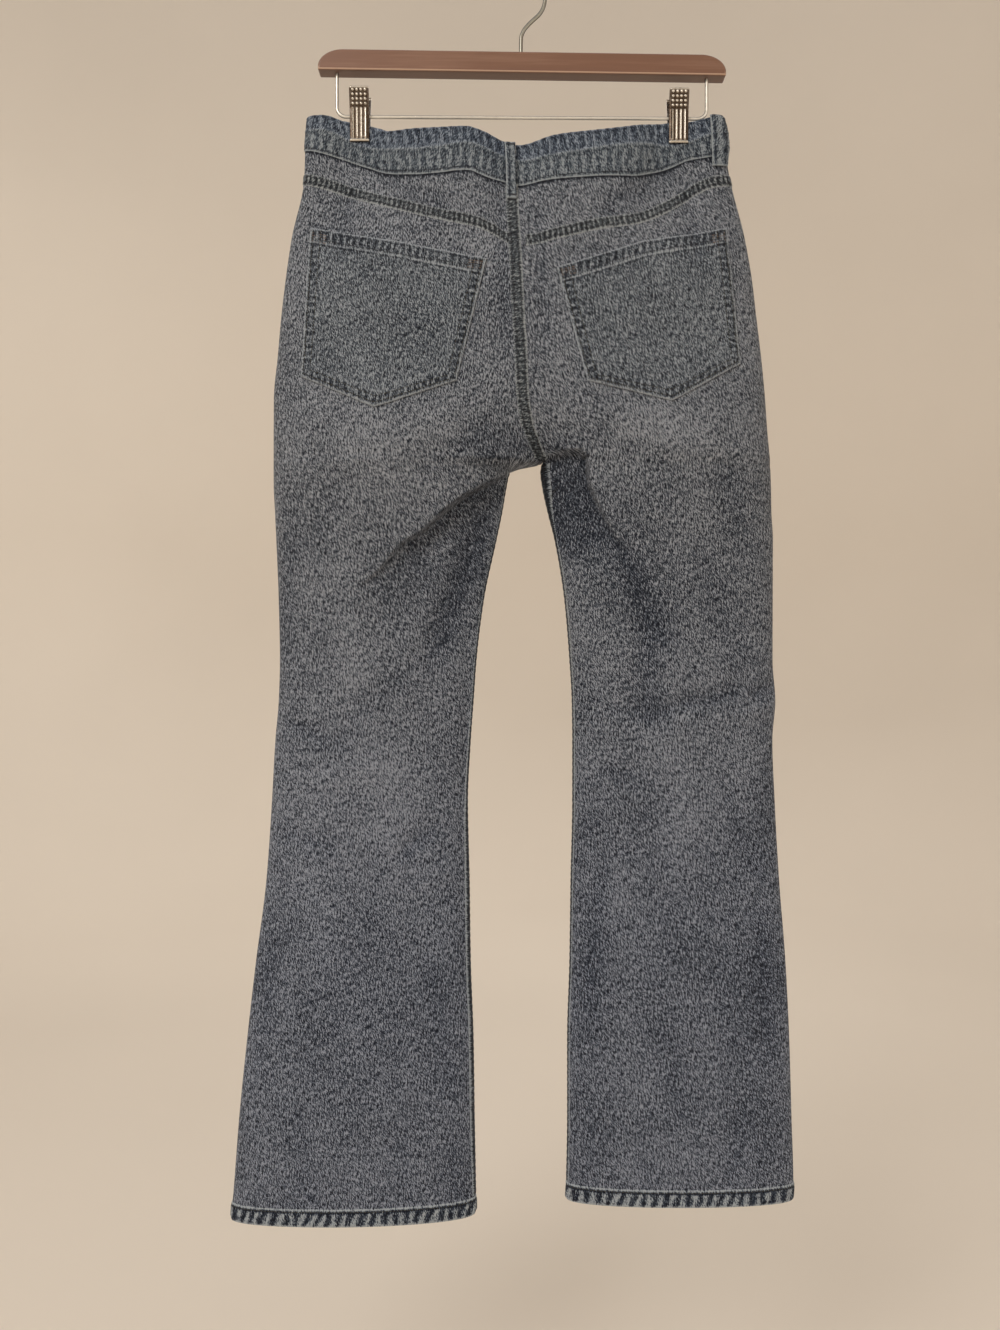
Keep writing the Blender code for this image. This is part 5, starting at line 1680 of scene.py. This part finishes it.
    def front_lines(self, side: Side) -> None:
        """Thread round the front pockets' mouths and down the centre front."""
        g = self.shop.garment
        u = np.linspace(0.01, 0.575, 90)
        mouth = g.edge_along(BAND_FOOT_FRONT, side, Face.FRONT, u) + FrontMouth.depth(u)
        for below in (2.2, 8.4):
            drops = mouth + below
            xs = g.cloth(side, Face.FRONT, u, drops)[..., 0]
            self.sewing.run("front_mouth_" + side.value, side, Face.FRONT, xs, drops, 0.15)
        if side is Side.RIGHT:
            drops = np.linspace(215.0, 420.0, 120)
            self.sewing.run("centre_front", side, Face.FRONT, g.column("left_in", drops) + 3.0, drops, 0.15)

    def hem_line(self, side: Side) -> None:
        """The single row of dark thread that holds the hem."""
        g = self.shop.garment
        for face in Face:
            u = np.linspace(0.01, 0.99, 160)
            drops = g.hem_drop(side, u) - g.hem_height + 2.2
            xs = g.cloth(side, face, u, drops)[..., 0]
            self.sewing.run("hem_" + side.value, side, face, xs, drops, 0.55)

    def build(self) -> None:
        """Every seam."""
        for side in Side:
            self.yoke(side)
            self.inseam(side)
            self.front_lines(side)
            self.hem_line(side)
        self.centre_back()


@dataclass
class Closure:
    """The front's fly, with its zip, and the button on the band."""

    shop: ClothShop
    sewing: Stitcher
    width: float = 36.0
    length: float = 132.0
    tooth: float = 1.9

    def lap(self) -> None:
        """The fly's lap with its double curved row of thread."""
        g = self.shop.garment
        across = np.concatenate([[0.0, 0.02, 0.05], np.linspace(0.09, 0.95, 22), [0.98, 1.0]])
        down = np.linspace(0.0, 1.0, 76)[:, None]
        curve = np.clip((down - 0.6) / 0.42, 0.0, 1.0)
        wide = self.width * np.sqrt(1 - curve * curve)
        top = float(g.edge_drop(BAND_FOOT_FRONT, 0.0)) + 0.3
        xs = float(g.column("left_in", 220.0)) - 0.3 - wide * across
        drops = top + self.length * down + 0 * xs
        u = g.share_at(Side.LEFT, xs, drops)
        near = np.minimum(across[None, :], 1 - across[None, :]) * wide
        lift = 0.55 + 1.3 - 0.7 * bell(near, 0.0, 0.9)
        grid = self.shop.lay(Side.LEFT, Face.FRONT, u, drops, lift)
        grid.fields["edge"] = bell(near, 0.0, 1.2)
        grid.fields["along"] = drops
        grid.fields["across"] = 0 * drops
        grid.fields["roping"] = 0 * drops
        made = grid.build("fly_lap_cloth", 1.3, (self.shop.wardrobe.denim(Wardrobe.POCKET),))
        self.shop.keep("fly_lap", made, "fly_lap")
        for col in (len(across) - 3, len(across) - 7):
            self.sewing.follow("fly", grid.points[:, col], grid.normal[:, col])

    def behind(self, x: float, drop: float, depth: float) -> Array:
        """A point a given depth inside the front cloth."""
        g = self.shop.garment
        side = Side.LEFT if x < float(g.column("left_in", drop)) else Side.RIGHT
        share = np.array(g.share_at(side, x, drop))
        at = np.array(drop, float)
        return g.cloth(side, Face.FRONT, share, at) - g.outward(side, Face.FRONT, share, at) * depth

    def zip(self) -> None:
        """The tape and its meshed teeth, behind the fly."""
        drops = np.linspace(200.0, 308.0, 60)
        across = np.linspace(-12.0, 12.0, 15)
        points = np.array([[self.behind(x, drop, 2.6) for x in across] for drop in drops])
        normal = np.zeros(points.shape)
        normal[..., 1] = 1.0
        ribs = 0.12 * np.cos(np.linspace(0, 15 * math.pi, 15))
        points = points + normal * ribs[None, :, None]
        uv = np.stack(np.broadcast_arrays(across[None, :], -drops[:, None]), -1)
        finish = self.shop.wardrobe.plain(Wardrobe.TAPE)
        made = Sheet(points, normal, uv).build("zip_tape_woven", 0.8, (finish,))
        self.shop.keep("zip_tape", made, "zip_tape")
        teeth = []
        for k, drop in enumerate(np.arange(206.0, 304.0, self.tooth)):
            lean = 1.0 if k % 2 else -1.0
            centre = self.behind(lean * 1.1, drop, 3.9)
            path = [centre + np.array([lean * reach, 0.0, 0.0]) for reach in (2.4, 1.4, 0.2, -1.2, -2.2)]
            teeth.append(tube_body(np.array(path), np.array([0.55, 0.8, 0.6, 0.75, 0.5]), 6))
        made = join_meshes("zip_teeth", teeth, self.shop.wardrobe.plain(Wardrobe.BRASS))
        self.shop.keep("zip_teeth", made)

    def slider(self) -> None:
        """The slider: a shield with a bridge and a short pull."""
        centre = self.behind(0.0, 209.0, 5.2)
        outline = [(0.0, 4.5), (2.2, 4.2), (3.0, 2.6), (2.6, 0.0), (1.8, -3.2), (0.0, -4.4),
                   (-1.8, -3.2), (-2.6, 0.0), (-3.0, 2.6), (-2.2, 4.2)]
        rings = ((0.82, -1.2), (1.0, -0.8), (1.0, 0.5), (0.82, 1.0))
        points = [centre + np.array([x * grow, depth, z * grow]) for grow, depth in rings for x, z in outline]
        bodies = [(np.array(points), turned_over(ring_faces(len(rings), len(outline))))]
        bridge = [centre + np.array([0.0, y, z])
                  for y, z in ((-1.0, 3.2), (-2.2, 1.8), (-2.3, -0.6), (-1.0, -2.6))]
        bodies.append(tube_body(np.array(bridge), 0.6, 8))
        pull = [centre + np.array([0.0, -2.4, z]) for z in (0.6, -3.0, -9.0, -12.0)]
        bodies.append(tube_body(np.array(pull), np.array([0.7, 1.1, 1.3, 0.9]), 8))
        made = join_meshes("zip_slider_shield", bodies, self.shop.wardrobe.plain(Wardrobe.BRASS))
        self.shop.keep("zip_slider", made, "zip_slider")

    def button(self) -> None:
        """A plain domed shank button with a turned rim."""
        low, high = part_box("button")
        centre = [(a + b) / 2 / MM for a, b in zip(low, high)]
        base = low[1] / MM
        profile = ((0.0, 2.75), (2.2, 2.7), (4.4, 2.45), (5.4, 2.2), (5.9, 2.55), (6.6, 3.0), (7.4, 2.95),
                   (8.2, 2.4), (8.5, 1.8), (8.5, 1.4), (8.0, 1.0), (5.0, 0.7), (4.6, 0.3), (4.6, 0.0), (0.0, 0.0))
        points, faces = lathe(profile, 56)
        points = points[:, [0, 2, 1]] + np.array([centre[0], base, centre[2]])
        made = new_mesh("button_domed", points, turned_over(faces), 60.0)
        made.data.materials.append(self.shop.wardrobe.plain(Wardrobe.BRASS))
        self.shop.keep("button", made, "button")

    def build(self) -> None:
        """The whole closure."""
        self.lap()
        self.zip()
        self.slider()
        self.button()


@dataclass
class Hanger:
    """The wooden bar, its hook, the rod below it and the two sprung clips."""

    wardrobe: Wardrobe
    tilt: float = math.radians(0.86)
    length: float = 356.0
    top: float = 69.0
    height: float = 18.3
    depth: float = 13.4
    centre_x: float = 1.0
    hook_wire: float = 3.4
    hook_radius: float = 21.0
    rod_wire: float = 3.0
    rod_drop: Tuple[float, float] = (122.6, 124.4)
    rod_x: Tuple[float, float] = (-161.3, 162.8)
    rod_bend: float = 8.0
    clip_x: Tuple[float, float] = (-141.0, 137.5)
    jaw_width: float = 17.0
    jaw_wall: float = 1.3
    coil_wire: float = 0.62
    coil_radius: float = 3.1
    coil_reach: float = 4.2
    coil_turns: float = 6.0

    JAW_PROFILE = ((-23.9, 4.6), (-21.0, 4.4), (-8.0, 4.9), (-4.0, 5.2), (0.0, 5.2), (5.0, 5.6), (13.0, 7.6),
                   (21.5, 10.0))

    def keep(self, made: bpy.types.Object, slot: str, *nodes: str) -> bpy.types.Object:
        """Hangs a piece on the body."""
        if nodes:
            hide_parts(*nodes)
        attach(made, "root")
        LOG.info("%s: %d faces", made.name, len(made.data.polygons))
        return made

    def bar(self) -> None:
        """The bar: a plank outline with rounded shoulders and soft edges."""
        half, tall = self.length / 2, self.height
        shoulder, drop, corner = 22.0, 15.0, 1.6
        outline = []
        for a in np.radians(np.linspace(-90, 0, 8)):
            outline.append((half - corner + corner * math.cos(a), -tall + corner + corner * math.sin(a)))
        for a in np.radians(np.linspace(4, 90, 18)):
            outline.append((half - shoulder + shoulder * math.cos(a), -drop + drop * math.sin(a)))
        for x in np.linspace(half - shoulder - 8, -(half - shoulder - 8), 40):
            outline.append((x, 0.0))
        outline += [(-x, z) for x, z in outline[25:7:-1]] + [(-x, z) for x, z in outline[7::-1]]
        line = np.array(outline)
        ahead, behind = np.roll(line, -1, axis=0), np.roll(line, 1, axis=0)
        along = ahead - behind
        inward = np.stack([-along[:, 1], along[:, 0]], 1)
        inward /= np.linalg.norm(inward, axis=1, keepdims=True)
        soft = 1.5
        rings = []
        for a in np.linspace(0, math.pi / 2, 7):
            rings.append((soft * (1 - math.sin(a)), -self.depth / 2 + soft * (1 - math.cos(a))))
        for part in (0.3, 0.6):
            rings.append((0.0, -self.depth / 2 + soft + (self.depth - 2 * soft) * part))
        rings += [(inset, -y) for inset, y in rings[6::-1]]
        rings = [(soft + 0.06, -self.depth / 2)] + rings + [(soft + 0.06, self.depth / 2)]
        # Painted shade on the bar's underside, and a light line along its lower front edge that is partly worn
        # varnish and partly a painted highlight.
        points, under, worn = [], [], []
        for inset, y in rings:
            flat = line + inward * inset
            under.append(ramp((-tall + 1.5 - flat[:, 1]) / 1.0) * (1.0 if y > -self.depth / 2 + 1.0 else 0.4))
            front_edge = y < -self.depth / 2 + 1.1 and inset <= soft
            worn.append(bell(flat[:, 1] + tall, 1.0, 0.7) * (1.0 if front_edge else 0.0))
            x = flat[:, 0] * math.cos(self.tilt) + flat[:, 1] * math.sin(self.tilt)
            z = -flat[:, 0] * math.sin(self.tilt) + flat[:, 1] * math.cos(self.tilt)
            points.append(np.stack([x + self.centre_x, np.full(len(x), y), z - self.top], 1))
        faces = turned_over(ring_faces(len(rings), len(line)))
        made = new_mesh("hanger_bar_varnished", np.concatenate(points), faces, 40.0)
        mark(made, "shade", np.concatenate(under))
        mark(made, "edge", np.concatenate(worn))
        made.data.materials.append(self.wardrobe.wood())
        self.keep(made, "wood", "hanger_bar")

    def smooth_path(self, corners: Sequence[Tuple[float, float, float]], count: int) -> Array:
        """An even curve through points."""
        corners = np.array(corners, float)
        far = np.concatenate([[0.0], np.cumsum(np.linalg.norm(np.diff(corners, axis=0), axis=1))])
        at = np.linspace(0.0, far[-1], count)
        return np.stack([smooth_curve(at, far, corners[:, axis]) for axis in range(3)], 1)

    def hook(self) -> None:
        """The bent wire with its collar on the bar."""
        centre = -(self.hook_radius - self.hook_wire / 2)
        neck = [(0.0, 0.0, -self.top - 2.0), (0.0, 0.0, -60.0), (0.2, 0.0, -53.5), (2.2, 0.0, -47.5),
                (6.4, 0.0, -42.0), (11.5, 0.0, -37.2)]
        angles = np.radians(np.linspace(-42.0, 170.0, 40))
        loop = [(self.hook_radius * math.cos(a), 0.0, centre + self.hook_radius * math.sin(a)) for a in angles]
        path = self.smooth_path(neck + loop, 150)
        radius = np.full(len(path), self.hook_wire / 2)
        radius[-3:] = (self.hook_wire / 2 * 0.95, self.hook_wire / 2 * 0.75, self.hook_wire / 2 * 0.35)
        collar = np.array([(0.0, 0.0, rise - self.top) for rise in (-0.6, 0.2, 0.9, 1.6)])
        parts = [tube_body(path, radius, 20), tube_body(collar, np.array([3.6, 3.5, 3.0, 1.6]), 24)]
        made = join_meshes("hanger_hook_wire", parts, self.wardrobe.plain(Wardrobe.STEEL))
        self.keep(self.paint_wire_highlight_and_shade(made), "steel", "hanger_hook")

    def paint_wire_highlight_and_shade(self, made: bpy.types.Object) -> bpy.types.Object:
        """Paints shade on a wire's flanks and a painted highlight line along its front and its back."""
        ways = np.array([vertex.normal[:] for vertex in made.data.vertices])
        low = 1 - ramp((0.87 * np.abs(ways[:, 1]) - 0.49 * ways[:, 2] - 0.45) / 0.4)
        mark(made, "shade", 0.95 * low - 0.5)
        return made

    def rod_level(self, x: float) -> float:
        """The rod's drop at an x."""
        part = (x - self.rod_x[0]) / (self.rod_x[1] - self.rod_x[0])
        return self.rod_drop[0] + (self.rod_drop[1] - self.rod_drop[0]) * part

    def rod(self) -> None:
        """The rod, up into the bar at both ends."""
        left, right = self.rod_x
        foot = self.top + self.height
        points = [(left, 0.0, -foot + 6.0), (left, 0.0, -foot - 10.0)]
        bend = self.rod_bend
        for x, z, first in ((left + bend, self.rod_drop[0], 180.0), (right - bend, self.rod_drop[1], 270.0)):
            for a in np.radians(np.linspace(first, first + 90.0, 12)):
                points.append((x + bend * math.cos(a), 0.0, -z + bend + bend * math.sin(a)))
        points += [(right, 0.0, -foot - 12.0), (right, 0.0, -foot + 1.0)]
        far = np.array(points)
        dense = [far[0]]
        for a, b in zip(far, far[1:]):
            steps = max(1, int(np.linalg.norm(b - a) / 6))
            dense += [a + (b - a) * (k + 1) / steps for k in range(steps)]
        made = join_meshes("clip_rod_wire", [tube_body(np.array(dense), self.rod_wire / 2, 16)],
                           self.wardrobe.plain(Wardrobe.ROD))
        self.keep(self.paint_wire_highlight_and_shade(made), "steel", "clip_rod")

    def relief(self, across: Array, rise: Array) -> Array:
        """A jaw's pressed pattern: a grid of pips above, ribs below, and a turned lip.

        Args:
            across: Places from -8.5 to 8.5.
            rise: Heights above the rod.

        Returns:
            How far the plate is pressed out.
        """
        out = np.zeros(np.shape(rise + across))
        columns = [-5.4 + 3.6 * col for col in range(4)]
        for x in columns:
            for row in range(4):
                away = np.hypot(across - x, rise - 18.6 + 3.5 * row)
                out = out + 0.6 * (1 - ramp((away - 0.5) / 0.8))
        for x in columns:
            rib = 1 - ramp((np.abs(across - x) - 0.2) / 0.75)
            out = out + 1.1 * rib * ramp((rise + 21.4) / 1.2) * ramp((5.6 - rise) / 1.6)
        out = out + 0.9 * bell(rise, -22.6, 0.9)
        return out + 0.5 * bell(rise, 20.6, 0.8)

    def jaw(self, name: str, x: float, face: Face) -> None:
        """One pressed jaw with its relief and its turned-in sides."""
        level = self.rod_level(x)
        across = np.linspace(-self.jaw_width / 2, self.jaw_width / 2, 49)
        rise = np.linspace(-23.9, 21.5, 136)[:, None]
        depth = np.interp(rise, *zip(*self.JAW_PROFILE))
        corner = np.maximum(np.abs(across) - self.jaw_width / 2 + 1.6, 0.0)
        top = np.maximum(rise - 19.9, 0.0)
        plate = depth + self.relief(across, rise) - 0.9 * (corner / 1.6) ** 2 - 0.8 * (top / 1.6) ** 2
        xs = np.broadcast_to(across + x, plate.shape)
        zs = np.broadcast_to(rise - level, plate.shape)
        points = np.stack([xs, face.value * (plate + self.jaw_wall / 2), zs], -1)
        normal = np.zeros(points.shape)
        normal[..., 1] = face.value
        # Painted highlights on the pressed pips, ribs and lips, and painted shade on the flat plate between them.
        raised = np.clip(self.relief(across, rise) / 0.6, 0, 1)
        fields = {"edge": 0.38 * ramp(raised * 1.3 - 0.3), "shade": 0.5 * (1 - ramp(raised * 1.4))}
        grid = Sheet(points, normal, np.stack([xs, zs], -1), fields)
        made = grid.build(name + "_pressed", self.jaw_wall, (self.wardrobe.plain(Wardrobe.CLIP),))
        self.keep(made, "steel", name)

    def barrel(self, name: str, x: float) -> None:
        """The sleeve round the rod, with the coils of its spring and the jaws' pivot ears."""
        level = self.rod_level(x)
        parts = []
        turns = np.linspace(0.0, 2 * math.pi * self.coil_turns, 150)
        coil = np.stack([x + self.coil_reach * (2 * turns / turns[-1] - 1), self.coil_radius * np.cos(turns),
                         -level + self.coil_radius * np.sin(turns)], 1)
        parts.append(tube_body(coil, self.coil_wire, 8))
        for end in (-1.0, 1.0):
            ear = np.array([(x + end * reach, 0.0, -level) for reach in (5.0, 5.3, 6.9, 7.2)])
            parts.append(tube_body(ear, np.array([2.8, 3.5, 3.5, 2.9]), 24))
            for face in (-1.0, 1.0):
                arm = [(x + end * 7.0, face * y, -level + z) for y, z in ((0.0, 0.0), (2.4, 0.4), (5.0, 1.2))]
                parts.append(tube_body(np.array(arm), np.array([1.2, 1.2, 1.0]), 10))
        made = join_meshes(name + "_spring", parts, self.wardrobe.plain(Wardrobe.CLIP))
        self.keep(made, "steel", name)

    def build(self) -> None:
        """The whole hanger."""
        self.bar()
        self.hook()
        self.rod()
        for name, x in zip(("clip_left", "clip_right"), self.clip_x):
            self.jaw(name + "_jaw_back", x, Face.BACK)
            self.jaw(name + "_jaw_front", x, Face.FRONT)
            self.barrel(name + "_barrel", x)


@dataclass(frozen=True)
class Lamp:
    """One soft round light: where it stands and looks, in metres, its size, power and colour."""

    name: str
    place: Tuple[float, float, float]
    target: Tuple[float, float, float]
    size: float
    power: float
    colour: Tuple[float, float, float]


MIDDLE = (0.0, 0.0, -0.6)
LAMPS: Tuple[Lamp, ...] = (
    Lamp("key", (-1.3, -1.7, 0.75), MIDDLE, 1.3, 24.0, (1.0, 0.97, 0.93)),
    Lamp("fill", (1.7, -1.6, -0.1), MIDDLE, 1.8, 6.0, (1.0, 0.98, 0.96)),
    Lamp("back", (0.5, 1.9, 0.7), MIDDLE, 1.8, 12.0, (1.0, 0.98, 0.95)),
    Lamp("wall", (-1.2, 1.3, 0.5), (-1.5, 3.2, 0.2), 1.9, 6.5, (1.0, 0.98, 0.94)),
    Lamp("wall_right", (1.1, 1.2, 0.7), (1.5, 3.2, 0.5), 1.9, 2.2, (1.0, 0.98, 0.96)),
)


@dataclass
class Studio:
    """A pale sweep, soft lights and the camera."""

    radius: float = 3.2
    floor: float = -1.32
    rise: float = 4.6
    eye: Tuple[float, float, float] = (-0.0184, -0.875, -0.6034)
    lens: float = 27.0

    def sweep(self) -> None:
        """A floor that curves up into a wall all round."""
        profile = [(0.0, self.floor)]
        bend = 1.2
        profile += [(r, self.floor) for r in np.linspace(0.4, self.radius - bend, 6)]
        for a in np.linspace(0, math.pi / 2, 14)[1:]:
            profile.append((self.radius - bend + bend * math.sin(a), self.floor + bend - bend * math.cos(a)))
        profile.append((self.radius, self.floor + self.rise))
        points, faces = lathe(profile, 96)
        made = new_mesh("studio_sweep", points / MM, faces, 80.0)
        sheet = NodeSheet("studio_paper")
        cloud = sheet.noise(sheet.place((900.0, 900.0, 900.0), uv=False), detail=2.0)
        sheet.wire(sheet.colours(cloud, ((0.3, srgb(223, 214, 202)), (0.7, srgb(227, 218, 206)))),
                   sheet.shader.inputs["Base Color"])
        sheet.shader.inputs["Roughness"].default_value = 0.95
        sheet.shader.inputs["Specular IOR Level"].default_value = 0.1
        made.data.materials.append(sheet.made)

    def light(self, lamp: Lamp) -> None:
        """One light, hidden from the camera."""
        bulb = bpy.data.lights.new(lamp.name, "AREA")
        bulb.shape = "DISK"
        bulb.size = lamp.size
        bulb.energy = lamp.power
        bulb.color = lamp.colour
        made = bpy.data.objects.new(lamp.name, bulb)
        bpy.context.scene.collection.objects.link(made)
        made.location = lamp.place
        aim = np.array(lamp.target) - np.array(lamp.place)
        tip = math.acos(-aim[2] / np.linalg.norm(aim))
        made.rotation_euler = (tip, 0.0, math.atan2(aim[1], aim[0]) - math.pi / 2)
        made.visible_camera = False

    def build(self) -> None:
        """Sweep, lights, world and camera."""
        self.sweep()
        for lamp in LAMPS:
            self.light(lamp)
        world = bpy.data.worlds.new("studio_air")
        world.use_nodes = True
        world.node_tree.nodes["Background"].inputs["Color"].default_value = (1.0, 0.965, 0.93, 1.0)
        world.node_tree.nodes["Background"].inputs["Strength"].default_value = 0.75
        bpy.context.scene.world = world
        lens = bpy.data.cameras.new("camera")
        lens.lens = self.lens
        lens.sensor_width = 36.0
        lens.clip_start = 0.01
        camera = bpy.data.objects.new("camera", lens)
        bpy.context.scene.collection.objects.link(camera)
        camera.location = self.eye
        camera.rotation_euler = (math.pi / 2, 0.0, 0.0)
        bpy.context.scene.camera = camera
        bpy.context.scene.view_settings.view_transform = "Standard"


@dataclass(frozen=True)
class Cut:
    """A piece's flat cut: width, length and share of that rectangle that is cloth."""

    width: float
    length: float
    share: float


def main() -> None:
    """Dresses the frame."""
    logging.basicConfig(level=logging.INFO, format="%(name)s %(message)s")
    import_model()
    wardrobe = Wardrobe()
    shop = ClothShop(Garment(), WearAndPaintedShade(), wardrobe)
    sewing = Stitcher(shop)
    for side in Side:
        for face in Face:
            shop.panel(side, face)
        shop.yoke(side)
        shop.facing(side)
        shop.hem(side)
    Waistband(shop, sewing).build()
    PatchPockets(shop, sewing).build()
    Seams(shop, sewing).build()
    Closure(shop, sewing).build()
    olive = wardrobe.plain(Wardrobe.THREAD_OLIVE)
    sewing.finish({"hem_left": olive, "hem_right": olive, "pocket_left": olive, "pocket_right": olive},
                  wardrobe.plain(Wardrobe.THREAD))
    Hanger(wardrobe).build()
    Studio().build()


if __name__ == "__main__":
    main()
